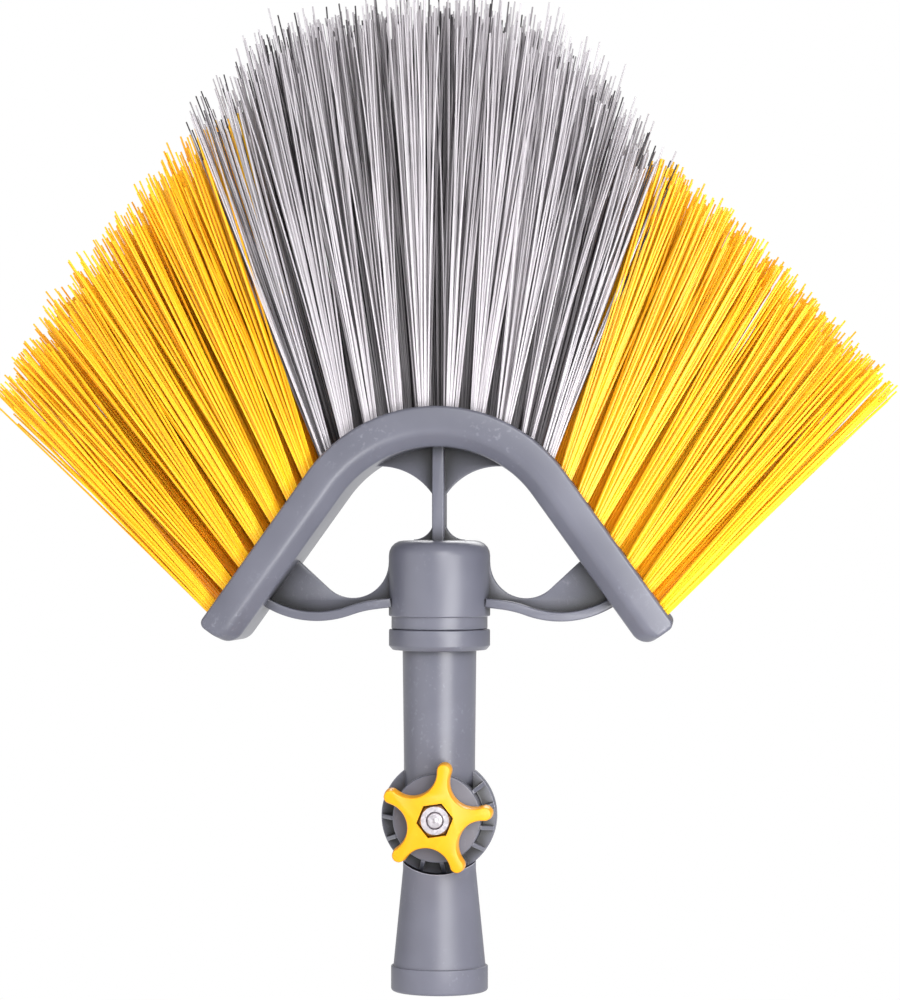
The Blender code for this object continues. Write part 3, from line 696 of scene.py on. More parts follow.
def bar_places():
    """Lengths along the bar: even on the arch and legs, and close together at the round ends."""
    leg_end = bar_half_length - end_inner_round
    half = [arch_part * step / (arch_stations // 2) for step in range(1, arch_stations // 2 + 1)]
    half += [arch_part + (leg_end - arch_part) * step / leg_stations for step in range(1, leg_stations)]
    for step in range(end_stations + 1):
        turn = end_share * math.pi / 2 * step / end_stations
        half.append(bar_half_length - end_inner_round * (1 - math.sin(turn)))
    return [-along for along in reversed(half)] + [0.0] + half


bar = swept("brush_head_moulding", bar_places())
print("bar faces:", len(bar.data.polygons))

# %% [markdown]
# Inside the arch a thin web ties the bar to the hub. Two windows are cut from it. An upright rib runs from
# the hub to the top of the arch, and a wavy flange stiffens the lower edge on each side. The flanges are a
# middle line given a steady thickness.

# %% The lower flanges' middle line
hub_radius = 18.0 * mm
hub_top = 160.0 * mm
flange_thickness = 3.3 * mm
flange_dip_share = 0.54
flange_dip_z = 132.8 * mm
flange_radius = 34.5 * mm
flange_overlap = 1.7 * mm
flange_inner_deg = 20.0
flange_back_radius = 40.0 * mm
flange_back_deg = 13.0
flange_end = 6.0 * mm


def inside(along, depth):
    """Flat (x, z) place at a depth under the bar's outer face."""
    point, _, inward = on_arch(along)
    spot = point + inward * depth
    return Vector((spot.x, spot.z))


leg_down = Vector((math.cos(arch_half), -math.sin(arch_half)))
leg_start = inside(arch_part, bar_thickness)
leg_x = leg_start.x + (leg_start.y - flange_dip_z) * leg_down.x / -leg_down.y
dip_centre = Vector((hub_radius + (leg_x - hub_radius) * flange_dip_share, flange_dip_z + flange_radius))
start = inside(arch_part, bar_thickness - flange_overlap)
down = (dip_centre - start).dot(leg_down)
apart = (dip_centre - start - leg_down * down).length
meeting = start + leg_down * (down + math.sqrt(flange_radius**2 - apart**2))
outer_deg = math.degrees(math.atan2(meeting.y - dip_centre.y, meeting.x - dip_centre.x))
dip_steps = 22
back_steps = 8
flange_line = arc(dip_centre, flange_radius, outer_deg, -90 - flange_inner_deg, dip_steps)
turn = math.radians(flange_inner_deg)
back_centre = Vector(flange_line[-1]) - flange_back_radius * Vector((math.sin(turn), math.cos(turn)))
back_deg = 90 - flange_inner_deg
flange_line += arc(back_centre, flange_back_radius, back_deg, back_deg + flange_back_deg, back_steps)[1:]
slope = math.radians(flange_inner_deg - flange_back_deg)
flange_line.append(tuple(Vector(flange_line[-1]) + flange_end * Vector((-math.cos(slope), math.sin(slope)))))
runs = [(Vector(b) - Vector(a)).length for a, b in zip(flange_line, flange_line[1:])]
print("flange length in mm:", round(sum(runs) / mm))


# %% Give the line its thickness
def ribbon(line, thickness):
    left, right = [], []
    for i, spot in enumerate(line):
        before, after = line[max(0, i - 1)], line[min(len(line) - 1, i + 1)]
        ahead = (Vector(after) - Vector(before)).normalized()
        side = Vector((-ahead.y, ahead.x)) * thickness / 2
        left.append(tuple(Vector(spot) + side))
        right.append(tuple(Vector(spot) - side))
    return left + right[::-1]


def mirrored(outline):
    return [(-x, z) for x, z in reversed(outline)]


# %% The windows
rib_width = 4.3 * mm
web_waist = 2.0 * mm
window_foot_radius = 7.1 * mm
window_low_radius = 12.8 * mm
window_low_drop = 8.0 * mm
window_low_turn = math.radians(47.0)
window_hidden_drops = (2.8 * mm, 5.3 * mm)
curve_steps = 20
foot_steps = 12
leg_steps = 16
bar_overlap = 1.8 * mm
top_share = (0.507, 0.291)
top_radius_share = 0.541
inner_radius = arch_radius - bar_thickness
top_centre = Vector((top_share[0] * inner_radius, arch_centre_z + top_share[1] * inner_radius))
top_radius = top_radius_share * inner_radius


def window_outline():
    """The right window: under the arch, down the rib, over the hub's shoulder, and up along the leg."""
    hidden = bar_thickness - bar_overlap
    between = top_centre - Vector((0.0, arch_centre_z))
    reach = ((arch_radius - hidden) ** 2 - top_radius**2 + between.length_squared) / (2 * between.length)
    aside = math.sqrt((arch_radius - hidden) ** 2 - reach**2)
    ahead = between.normalized()
    under = Vector((0.0, arch_centre_z)) + ahead * reach + Vector((-ahead.y, ahead.x)) * aside
    under_deg = math.degrees(math.atan2(under.y - top_centre.y, under.x - top_centre.x))
    waist_deg = 180 - math.degrees(math.acos((top_centre.x - web_waist) / top_radius))
    points = arc(top_centre, top_radius, under_deg, waist_deg, curve_steps)
    foot_x = web_waist + window_foot_radius
    points += arc((foot_x, hub_top + window_foot_radius), window_foot_radius, 180, 270, foot_steps)
    hub_edge = hub_radius - bar_overlap
    low = (hub_radius + window_low_radius, hub_top - window_low_drop)
    first_drop, second_drop = window_hidden_drops
    points += [(foot_x, hub_top - first_drop), (hub_edge, hub_top - second_drop), (hub_edge, low[1])]
    points += arc(low, window_low_radius, 180, 360 - math.degrees(window_low_turn), curve_steps)
    leaving = Vector((math.sin(window_low_turn), math.cos(window_low_turn)))
    leg = inside(arch_part, hidden)
    across = Vector((-leg_down.y, leg_down.x))
    corner = Vector(points[-1]) + leaving * (leg - Vector(points[-1])).dot(across) / leaving.dot(across)
    corner_along = arch_part + (corner - leg).dot(leg_down)
    first_along = arch_radius * math.atan2(under.x, under.y - arch_centre_z)
    run = [corner_along + (first_along - corner_along) * step / leg_steps for step in range(leg_steps)]
    return points + [tuple(inside(along, hidden)) for along in run]


window = window_outline()

# %% The web
web_thickness = 3.0 * mm
web_root = 7.0 * mm
web_rim = 0.45 * mm
half_steps = 30
lower_along = arch_part + (Vector(flange_line[0]) - inside(arch_part, web_root)).dot(leg_down)
top_edge = [tuple(inside(lower_along * (i / half_steps - 1), web_root)) for i in range(2 * half_steps + 1)]
web_edge = top_edge + flange_line + mirrored(flange_line)
web = plate("web", [web_edge, window, mirrored(window)], web_thickness, web_rim)

# %% Flanges and rib
rib_depth = 15.0 * mm
rib_rim = 0.6 * mm
rib_overlap = 3.0 * mm
flange = ribbon(flange_line, flange_thickness)
flange_right = plate("flange_right", [flange], rib_depth, rib_rim)
flange_left = plate("flange_left", [mirrored(flange)], rib_depth, rib_rim)
rib_side = rib_width / 2
rib_low, rib_high = hub_top - rib_overlap, arch_apex - bar_thickness + rib_overlap
rib_outline = [(-rib_side, rib_low), (rib_side, rib_low), (rib_side, rib_high), (-rib_side, rib_high)]
rib = plate("rib", [rib_outline], rib_depth, rib_rim)

# %% [markdown]
# The hub is turned: a domed cap with a generous shoulder, a straight barrel, and a slightly smaller step at
# its mouth. Its bore holds the spigot of the neck, and a shallow groove in the bore catches the neck's bead.

# %% The hub and its bore
turn_z = joints["head_turn"]["pos_m"][2]
hub_mouth = turn_z + 0.15 * mm
hub_step = hub_mouth + 4.5 * mm
hub_step_radius = 17.05 * mm
spigot_radius = 12.0 * mm
spigot_top = turn_z + 22.5 * mm
bead_height = 0.6 * mm
bead_z = spigot_top - 3.5 * mm
bore_room = 0.3 * mm
bore = spigot_radius + bore_room
hub = turned(
    "hub",
    [
        ((0.0, hub_top), 0),
        ((hub_radius, hub_top - 0.5 * mm), 5.3 * mm),
        ((hub_radius, hub_step), 0.4 * mm),
        ((hub_step_radius, hub_step), 0.3 * mm),
        ((hub_step_radius, hub_mouth), 0.4 * mm),
        ((0.0, hub_mouth), 0),
    ],
)
hub_bore = turned(
    "hub_bore",
    [
        ((0.0, spigot_top + bore_room), 0),
        ((bore, spigot_top + bore_room), 0),
        ((bore, bead_z + 1.5 * mm), 0),
        ((bore + bead_height, bead_z + 0.7 * mm), 0),
        ((bore + bead_height, bead_z - 0.7 * mm), 0),
        ((bore, bead_z - 1.5 * mm), 0),
        ((bore, hub_mouth + 0.8 * mm), 0),
        ((bore + 1.2 * mm, hub_mouth - 0.4 * mm), 0),
        ((0.0, hub_mouth - 0.4 * mm), 0),
    ],
)

# %% [markdown]
# The tufts stand in four rows, and every second row is shifted by half a step, so that a gap in one row is
# covered by the next. Each tuft leans outwards the further it is from the middle, and the rows fan out a
# little from front to back. A small mesh holds one point for each tuft, with its aim and its length as
# attributes. Geometry Nodes then read the same places twice: once to make the holes, once to grow bristles.

# %% Where the tufts stand
row_count = 4
row_pitch = 9.0 * mm
tufts_wide = 24
grey_tufts = 10
tuft_pitch = 9.7 * mm
end_tilt = math.radians(42.8)
row_fan = math.radians(4.5)
last_tuft = (tufts_wide - 1) * tuft_pitch / 2
colour_change = grey_tufts * tuft_pitch / 2
left_lengths = [(0, 142), (36, 142), (42, 129), (53, 124), (82, 118), (112, 109)]
right_lengths = [(0, 142), (16, 142), (24, 134), (34, 122), (44, 111), (63, 114), (82, 111), (112, 112)]


def row_y(row):
    return (row - (row_count - 1) / 2) * row_pitch


def tufts_of(row):
    """Lengths along the arch of the tufts in one row."""
    count = tufts_wide - row % 2
    return [(i - (count - 1) / 2) * tuft_pitch for i in range(count)]


def tuft_aim(along, row):
    lean = end_tilt * along / last_tuft
    fan = row_fan * row_y(row) / row_y(row_count - 1)
    return Vector((math.sin(lean) * math.cos(fan), math.sin(fan), math.cos(lean) * math.cos(fan)))


def tuft_length(along):
    """Bristle length: a few (place on the bar, length) pairs in millimetres, with straight runs between."""
    trim = left_lengths if along < 0 else right_lengths
    reach = abs(along) / mm
    for (start, first), (end, last) in zip(trim, trim[1:]):
        if reach <= end:
            break
    return mm * (first + (last - first) * (reach - start) / (end - start))


def tuft_points(name, places, sunk):
    """A mesh of single points, one for each (along, row), with the aim and the length as attributes."""
    mesh = bpy.data.meshes.new(name)
    aims = [tuft_aim(along, row) for along, row in places]
    roots = [on_arch(along)[0] + Vector((0.0, row_y(row), 0.0)) for along, row in places]
    mesh.from_pydata([root - aim * sunk for root, aim in zip(roots, aims)], [], [])
    for spot, aim in zip(mesh.attributes.new("aim", "FLOAT_VECTOR", "POINT").data, aims):
        spot.vector = aim
    for spot, (along, _) in zip(mesh.attributes.new("reach", "FLOAT", "POINT").data, places):
        spot.value = tuft_length(along) + sunk
    return linked(name, mesh)


all_places = [(along, row) for row in range(row_count) for along in tufts_of(row)]
print("tufts:", len(all_places))


# %% [markdown]
# Every Geometry Nodes tree starts from named inputs. It ends by making its copies real and giving them their
# finish. The result is turned into a plain mesh at once.


# %% Helpers for Geometry Nodes
def new_tree(name, sizes):
    """A tree with named inputs, given as (name, socket type, value), the sockets they feed, and its end."""
    tree = bpy.data.node_groups.new(name, "GeometryNodeTree")
    for way in ("INPUT", "OUTPUT"):
        tree.interface.new_socket("Geometry", in_out=way, socket_type="NodeSocketGeometry")
    for label, kind, value in sizes:
        socket = tree.interface.new_socket(label, in_out="INPUT", socket_type="NodeSocket" + kind)
        if value is not None:
            socket.default_value = value
    return tree, tree.nodes.new("NodeGroupInput").outputs, tree.nodes.new("NodeGroupOutput").inputs[0]


def painted(tree, geometry, finish, result):
    """The end of every tree: real copies with their finish."""
    whole = node(tree, "GeometryNodeRealizeInstances", {0: geometry}).outputs[0]
    coloured = node(tree, "GeometryNodeSetMaterial", {0: whole, "Material": finish}).outputs[0]
    tree.links.new(coloured, result)
    return tree


def stored(tree, geometry, name, value, kind="FLOAT"):
    inputs = {"Geometry": geometry, "Name": name, "Value": value}
    return node(tree, "GeometryNodeStoreNamedAttribute", inputs, data_type=kind, domain="POINT").outputs[0]


def named(tree, name, kind="FLOAT"):
    return node(tree, "GeometryNodeInputNamedAttribute", {"Name": name}, data_type=kind).outputs[0]


def turned_to(tree, direction):
    """The rotation that turns Z to a direction."""
    return node(tree, "FunctionNodeAlignRotationToVector", {"Vector": direction}, axis="Z").outputs[0]


def xyz(tree, *numbers):
    return node(tree, "ShaderNodeCombineXYZ", dict(enumerate(numbers))).outputs[0]


def copies_on(tree, points, shape, rotation, **more):
    inputs = {"Points": points, "Instance": shape, "Rotation": rotation, **more}
    return node(tree, "GeometryNodeInstanceOnPoints", inputs).outputs[0]


def grown(thing, tree, values):
    """Runs a tree on an object with the named values, and returns the plain mesh."""
    change = thing.modifiers.new(tree.name, "NODES")
    change.node_group = tree
    for socket in tree.interface.items_tree:
        if socket.item_type == "SOCKET" and socket.in_out == "INPUT" and socket.name in values:
            change[socket.identifier] = values[socket.name]
    return plain(thing)


# %% The holes for the tufts
hole_depth = 8.0 * mm
hole_overrun = 1.0 * mm
tuft_radius = 2.3 * mm
hole_room = 0.25 * mm
hole_sides = 14


def hole_tree():
    """A round plug on every point, turned to the point's aim."""
    sizes = [("Radius", "Float", tuft_radius), ("Depth", "Float", hole_depth)]
    tree, given, result = new_tree("tuft_holes", sizes)
    size = {"Vertices": hole_sides, "Radius": given["Radius"], "Depth": given["Depth"]}
    plug = node(tree, "GeometryNodeMeshCylinder", size, fill_type="NGON").outputs["Mesh"]
    turn = turned_to(tree, named(tree, "aim", "FLOAT_VECTOR"))
    return painted(tree, copies_on(tree, given[0], plug, turn), body_plastic, result)


plugs = grown(
    tuft_points("tuft_plugs", all_places, hole_depth / 2 - hole_overrun),
    hole_tree(),
    {"Radius": tuft_radius + hole_room, "Depth": hole_depth + 2 * hole_overrun},
)
print("faces of the plugs:", len(plugs.data.polygons))

# %% The whole head moulding
head = combined(bar, join(web, flange_right, flange_left, rib, hub) + cut(hub_bore, plugs))
belongs(head, "head", "body_plastic", body_plastic, "brush_head")

# %% [markdown]
# A tuft is a few dozen nearly straight filaments that leave one hole. The tree multiplies each tuft's point,
# spreads the copies over the hole in a sunflower pattern, and aims each copy a little outwards. Every copy
# then becomes a curve, is bent slightly towards its tip, and gets a thin skin of six smooth sides. That is
# enough, because a filament is only two or three pixels wide, and there are thousands of them.
#
# The rows have to stay apart, and the brush as deep as its construction. So the input "Depth share" keeps
# only a part of each lean and bend towards the front and the back.


# %% The bristle tree
tuft_shade_spread = 0.14
tuft_reach_range = (0.985, 1.005)
tuft_shadow_range = (0.5, 1.0)
tuft_opening_range = (0.7, 1.4)
curve_points = 6
filament_sides = 6
tip_thinning = 0.25
golden_angle = math.pi * (3 - math.sqrt(5))


def bristle_tree():
    tree, given, result = new_tree(
        "tuft_of_bristles",
        [
            ("Filaments", "Int", 50),
            ("Tuft radius", "Float", tuft_radius),
            ("Filament radius", "Float", 0.31 * mm),
            ("Splay", "Float", 0.04),
            ("Depth share", "Float", 0.5),
            ("Wander", "Float", 0.01),
            ("Tuft wander", "Float", 0.028),
            ("Bend", "Float", 2 * mm),
            ("Ragged", "Float", 0.09),
            ("Inner", "Float", 0.0),
            ("Seed", "Int", 1),
            ("Finish", "Material", None),
        ],
    )

    def calc(operation, *values):
        return maths(tree, operation, *values)

    def add(first, second):
        return vector_maths(tree, "ADD", first, second)

    def shallow(vector):
        """The vector with less of its part towards the front or the back."""
        return vector_maths(tree, "MULTIPLY", vector, xyz(tree, 1.0, given["Depth share"], 1.0))

    def random_vector(size, seed_step):
        """A random vector within a box of the given half width."""
        inputs = {0: (-1.0, -1.0, -1.0), 1: (1.0, 1.0, 1.0), "Seed": calc("ADD", given["Seed"], seed_step)}
        unit = node(tree, "FunctionNodeRandomValue", inputs, data_type="FLOAT_VECTOR").outputs[0]
        return scaled(tree, shallow(unit), size)

    def random_number(low, high, seed_step):
        inputs = {2: low, 3: high, "Seed": calc("ADD", given["Seed"], seed_step)}
        return node(tree, "FunctionNodeRandomValue", inputs, data_type="FLOAT").outputs[1]

    # each tuft has its own small error of aim, its own shade, length, strength of painted root shadow and
    # spread
    points = node(tree, "GeometryNodeMeshToPoints", {0: given[0]}).outputs[0]
    error = random_vector(given["Tuft wander"], 11)
    points = stored(tree, points, "aim", add(named(tree, "aim", "FLOAT_VECTOR"), error), "FLOAT_VECTOR")
    points = stored(tree, points, "tuft_shade", random_number(-tuft_shade_spread, tuft_shade_spread, 12))
    reach = calc("MULTIPLY", named(tree, "reach"), random_number(*tuft_reach_range, 13))
    points = stored(tree, points, "reach", reach)
    inner = calc("MULTIPLY", given["Inner"], random_number(*tuft_shadow_range, 15))
    points = stored(tree, points, "inner", inner)
    points = stored(tree, points, "opening", random_number(*tuft_opening_range, 14))

    # one point for each filament, spread over the hole in a sunflower pattern
    amount = {"Geometry": points, "Amount": given["Filaments"]}
    copies = node(tree, "GeometryNodeDuplicateElements", amount, domain="POINT")
    number = copies.outputs["Duplicate Index"]
    part = calc("DIVIDE", calc("ADD", number, 0.5), given["Filaments"])
    radius = calc("MULTIPLY", calc("SQRT", part), given["Tuft radius"])
    angle = calc("MULTIPLY", number, golden_angle)
    flat = xyz(
        tree, calc("MULTIPLY", radius, calc("COSINE", angle)), calc("MULTIPLY", radius, calc("SINE", angle))
    )
    aim = named(tree, "aim", "FLOAT_VECTOR")
    turn = turned_to(tree, aim)
    offset = node(tree, "FunctionNodeRotateVector", {"Vector": flat, "Rotation": turn}).outputs[0]
    spread = calc("DIVIDE", given["Splay"], given["Tuft radius"])
    outwards = scaled(tree, shallow(offset), calc("MULTIPLY", spread, named(tree, "opening")))
    line = add(add(aim, outwards), random_vector(given["Wander"], 1))
    lined = stored(tree, copies.outputs[0], "line", line, "FLOAT_VECTOR")
    moved = node(tree, "GeometryNodeSetPosition", {"Geometry": lined, "Offset": offset}).outputs[0]

    # each filament's shade, bend and length
    shade = calc("ADD", random_number(0.0, 1.0, 2), named(tree, "tuft_shade"))
    shaded = stored(tree, moved, "shade", shade)
    bent = stored(tree, shaded, "bend", random_vector(given["Bend"], 3), "FLOAT_VECTOR")
    short = calc("MULTIPLY", given["Ragged"], calc("POWER", random_number(0.0, 1.0, 4), 2.0))
    length = calc("MULTIPLY", named(tree, "reach"), calc("SUBTRACT", 1.0, short))
    measured = stored(tree, bent, "length", length)

    # a unit line on every point becomes the filament's curve, and gets its skin
    unit_line = node(tree, "GeometryNodeCurvePrimitiveLine", {"End": (0.0, 0.0, 1.0)}).outputs[0]
    stepped = node(tree, "GeometryNodeResampleCurve", {"Curve": unit_line, "Count": curve_points}).outputs[0]
    aimed = turned_to(tree, named(tree, "line", "FLOAT_VECTOR"))
    placed = copies_on(tree, measured, stepped, aimed, Scale=xyz(tree, 1.0, 1.0, named(tree, "length")))
    curves = node(tree, "GeometryNodeRealizeInstances", {0: placed}).outputs[0]
    along = node(tree, "GeometryNodeSplineParameter").outputs["Factor"]
    curves = stored(tree, curves, "along", along)
    curving = scaled(tree, named(tree, "bend", "FLOAT_VECTOR"), calc("POWER", along, 2.0))
    curves = node(tree, "GeometryNodeSetPosition", {"Geometry": curves, "Offset": curving}).outputs[0]
    taper = calc("SUBTRACT", 1.0, calc("MULTIPLY", along, tip_thinning))
    thin = calc("MULTIPLY", given["Filament radius"], taper)
    around = {"Resolution": filament_sides, "Radius": 1.0}
    ring = node(tree, "GeometryNodeCurvePrimitiveCircle", around).outputs[0]
    shape = {"Curve": curves, "Profile Curve": ring, "Scale": thin, "Fill Caps": True}
    skin = node(tree, "GeometryNodeCurveToMesh", shape).outputs[0]
    smooth = node(tree, "GeometryNodeSetShadeSmooth", {0: skin}).outputs[0]
    return painted(tree, smooth, given["Finish"], result)


# %% Grow the bristles, row by row
bristles = bristle_tree()
root_depth = 4 * mm
first_seed = 100
row_seed = 17
grey_habit = {
    "Splay": 0.050,
    "Wander": 0.019,
    "Bend": 5 * mm,
    "Filaments": 48,
    "Filament radius": 0.36 * mm,
    "Finish": grey_filament,
}
yellow_habit = {
    "Splay": 0.056,
    "Wander": 0.009,
    "Bend": 2.5 * mm,
    "Filaments": 38,
    "Filament radius": 0.46 * mm,
    "Finish": yellow_filament,
}


def grow_row(name, row, places, habit, slot):
    """One colour of one row, with all its tufts."""
    base = tuft_points(name + "_bristles", [(along, row) for along in places], root_depth)
    seed = first_seed + row_seed * row + round(places[0] / mm)
    # the middle rows get the painted root shadow
    inner = 1.0 if 0 < row < row_count - 1 else 0.0
    values = {"Tuft radius": tuft_radius, "Seed": seed, "Inner": inner}
    belongs(grown(base, bristles, {**values, **habit}), "head", slot, habit["Finish"], name)


for row in range(row_count):
    change = colour_change - (tuft_pitch / 2 if row % 2 else 0.0)
    spots = tufts_of(row)
    number = row + 1
    left, right = [s for s in spots if s < -change], [s for s in spots if s > change]
    grow_row(f"yellow_left_row_{number}", row, left, yellow_habit, "yellow_bristle")
    grow_row(f"grey_row_{number}", row, [s for s in spots if abs(s) < change], grey_habit, "grey_bristle")
    grow_row(f"yellow_right_row_{number}", row, right, yellow_habit, "yellow_bristle")

# %% [markdown]
# The tilting joint is a lap of two discs that a bolt clamps. Each half has a boss and thin ribs that slope
# from the boss down to the disc's rim. The ribs are one wedge, set round the bolt's axis by Geometry Nodes,
# which leave out those that the tube would swallow.

# %% Sizes of the joint
joint_z = joints["tilt"]["pos_m"][2]
lap = 0.15 * mm
disc_radius = 20.4 * mm
disc_thickness = 3.3 * mm
boss_radius = 15.6 * mm
boss_face = 13.5 * mm
bolt_hole = 3.3 * mm
saddle_radius = disc_radius + 0.35 * mm
saddle_mouth_radius = disc_radius - 0.95 * mm
rib_foot = 1.6 * mm
pocket_room = 0.3 * mm
sliver = 0.01 * mm
overrun = 4 * mm
round_steps = 128
hole_steps = 48


def onto_bolt(side=-1, forwards=0.0):
    """Lays a part that was made about Z along the bolt: its top to the front at side -1, or to the rear."""
    return Matrix.Translation((0.0, -forwards, joint_z)) @ Matrix.Rotation(-side * math.pi / 2, 4, "X")


def about_bolt(name, from_y, to_y, radius, sides, **more):
    """A prism or a cone about the bolt's axis."""
    return prism(name, (0, from_y, joint_z), (0, to_y, joint_z), radius, sides, **more)


def saddle(name, side):
    """Cutters for the room of the other half: its disc, and a cone for the ribs that slope down to it."""
    ribs_end = side * (lap + disc_thickness + rib_foot)
    cone_from, outside = ribs_end - side * sliver, side * (boss_face + overrun)
    disc_room = about_bolt(name + "_disc", -side * lap, ribs_end, saddle_radius, round_steps)
    cone = {"end_radius": saddle_mouth_radius}
    return cut(disc_room, about_bolt(name + "_ribs", cone_from, outside, saddle_radius, round_steps, **cone))


def half_joint(name, side):
    """One disc with its boss, about the bolt's axis: the rear half at side 1, the front half at side -1."""
    return turned(
        name,
        [
            ((0.0, boss_face), 0),
            ((boss_radius, boss_face), 0.6 * mm),
            ((boss_radius, lap + disc_thickness), 0.5 * mm),
            ((disc_radius, lap + disc_thickness), 0.5 * mm),
            ((disc_radius, lap), 0.15 * mm),
            ((0.0, lap), 0),
        ],
        onto_bolt(side),
        round_steps,
    )


# %% One wedge-shaped rib
rib_thickness = 1.5 * mm
rib_sunk = 1.2 * mm
rib_start_deg = 12.0
rib_gap_deg = 45.0
rib_count = 15


def joint_rib():
    """A rib in the plane of X and Z, which slopes from the boss's face down to the rim."""
    inner, outer = boss_radius - rib_sunk, disc_radius - 0.4 * mm
    floor_y, face_y = lap + disc_thickness - rib_sunk, boss_face - rib_sunk
    outline = rounded(
        [
            ((inner, floor_y), 0),
            ((outer, floor_y), 0),
            ((outer, lap + disc_thickness + rib_thickness), 0.5 * mm),
            ((boss_radius + 0.6 * mm, face_y), 0.8 * mm),
            ((inner, face_y), 0),
        ],
        steps=4,
    )
    return plate("joint_rib", [outline], rib_thickness, 0.25 * mm)


# %% The ribs round the bolt
def rib_tree():
    tree, given, result = new_tree(
        "ribs_round_a_bolt",
        [
            ("Rib", "Object", None),
            ("Count", "Int", rib_count),
            ("First angle", "Float", 0.0),
            ("Gap angle", "Float", 0.0),
            ("Half gap", "Float", 0.0),
            ("Finish", "Material", None),
        ],
    )
    ring = node(tree, "GeometryNodePoints", {"Count": given["Count"]}).outputs[0]
    number = node(tree, "GeometryNodeInputIndex").outputs[0]
    step = maths(tree, "DIVIDE", math.tau, given["Count"])
    angle = maths(tree, "MULTIPLY_ADD", number, step, given["First angle"])
    apart = maths(tree, "SUBTRACT", angle, given["Gap angle"])
    size = maths(tree, "ABSOLUTE", maths(tree, "WRAP", apart, math.pi, -math.pi))
    limits = {0: size, 1: given["Half gap"]}
    clear = node(tree, "FunctionNodeCompare", limits, operation="GREATER_THAN").outputs[0]
    shape = node(tree, "GeometryNodeObjectInfo", {"Object": given["Rib"]}).outputs["Geometry"]
    spots = copies_on(tree, ring, shape, xyz(tree, 0.0, 0.0, angle), Selection=clear)
    return painted(tree, spots, given["Finish"], result)


ribs_round = rib_tree()
wedge = joint_rib()


def ribs_of(name, side, gap_deg):
    """The ribs of one half. Side 1 is the rear, and the gap is where the tube or the cone stands."""
    values = {
        "Rib": wedge,
        "Count": rib_count,
        "First angle": math.radians(rib_start_deg),
        "Gap angle": math.radians(gap_deg),
        "Half gap": math.radians(rib_gap_deg),
        "Finish": body_plastic,
    }
    ribs = grown(linked(name, bpy.data.meshes.new(name)), ribs_round, values)
    ribs.data.transform(onto_bolt() @ Matrix.Diagonal((1.0, 1.0, -side, 1.0)))
    if side > 0:
        ribs.data.flip_normals()
    return ribs


# %% [markdown]
# The neck is a plain tube. Its top carries a flange ring and the spigot that turns in the hub, and its foot
# runs into the front half of the joint. A saddle is cut away behind, where the rear disc passes.

# %% The neck
neck_low_radius = 12.65 * mm
neck_high_radius = 13.1 * mm
flange_low = 120.9 * mm
flange_ring = 17.95 * mm
neck_core = neck_low_radius - 3.2 * mm
neck_core_low = 92 * mm
neck = turned(
    "neck_moulding",
    [
        ((0.0, neck_core_low), 0),
        ((neck_core, neck_core_low), 1 * mm),
        ((neck_core, spigot_top), 0),
        ((spigot_radius, spigot_top), 0.8 * mm),
        ((spigot_radius, bead_z + 1.3 * mm), 0),
        ((spigot_radius + bead_height, bead_z + 0.4 * mm), 0.3 * mm),
        ((spigot_radius + bead_height, bead_z - 0.4 * mm), 0.3 * mm),
        ((spigot_radius, bead_z - 1.3 * mm), 0),
        ((spigot_radius, turn_z), 0.3 * mm),
        ((flange_ring, turn_z), 0.5 * mm),
        ((flange_ring, flange_low + 1.5 * mm), 0.6 * mm),
        ((flange_ring - 1.3 * mm, flange_low), 0.5 * mm),
        ((neck_high_radius, flange_low), 0.5 * mm),
        ((neck_low_radius, joint_z + disc_radius), 0),
        ((neck_low_radius, joint_z), 0),
        ((0.0, joint_z), 0),
    ],
)
neck = combined(
    neck,
    saddle("neck_saddle", 1)
    + join(half_joint("neck_disc", -1), ribs_of("neck_ribs", -1, 90))
    + cut(about_bolt("neck_hole", -boss_face - overrun, overrun, bolt_hole, hole_steps)),
)
belongs(neck, "neck", "body_plastic", body_plastic, "neck")

# %% [markdown]
# The pole socket is a cone with a collar at its mouth. It is hollow: its bore tapers, so that the pole's end
# wedges in it. Its top carries the rear half of the joint, with a hexagonal pocket that keeps the bolt's head
# from turning. The pocket is cut before the bolt's hole, so that the hole meets a flat floor.

# %% The pole socket
collar_radius = 17.2 * mm
collar_height = 9.0 * mm
cone_low_radius = 16.35 * mm
cone_top_radius = 12.95 * mm
cone_height = 43.0 * mm
bore_mouth = 13.25 * mm
bore_end = 11.0 * mm
bore_depth = 38.0 * mm
head_seat = 9.1 * mm
hex_pocket = 6.12 * mm
socket = turned(
    "pole_socket_moulding",
    [
        ((0.0, joint_z), 0),
        ((cone_top_radius, joint_z), 0),
        ((cone_top_radius, cone_height), 8 * mm),
        ((cone_low_radius, collar_height), 0.25 * mm),
        ((collar_radius, collar_height), 0.4 * mm),
        ((collar_radius, 0.0), 1.1 * mm),
        ((bore_mouth + 0.8 * mm, 0.0), 0.3 * mm),
        ((bore_mouth, 0.8 * mm), 0),
        ((bore_end, bore_depth), 1 * mm),
        ((0.0, bore_depth), 0),
    ],
)
socket = combined(
    socket,
    saddle("socket_saddle", -1)
    + join(half_joint("socket_disc", 1), ribs_of("socket_ribs", 1, 270))
    + cut(
        about_bolt("head_pocket", head_seat - pocket_room, boss_face + overrun, hex_pocket, 6),
        about_bolt("socket_hole", -overrun, boss_face + overrun, bolt_hole, hole_steps),
    ),
)
belongs(socket, "socket", "body_plastic", socket_plastic, "pole_socket")
bpy.data.objects.remove(wedge, do_unlink=True)

# %% [markdown]
# The star knob has five arms. Each tip is a round, each valley a hollow arc that touches two tips, so the
# outline is made of arcs alone. The nut sits sunk in a hexagonal recess with straight walls.

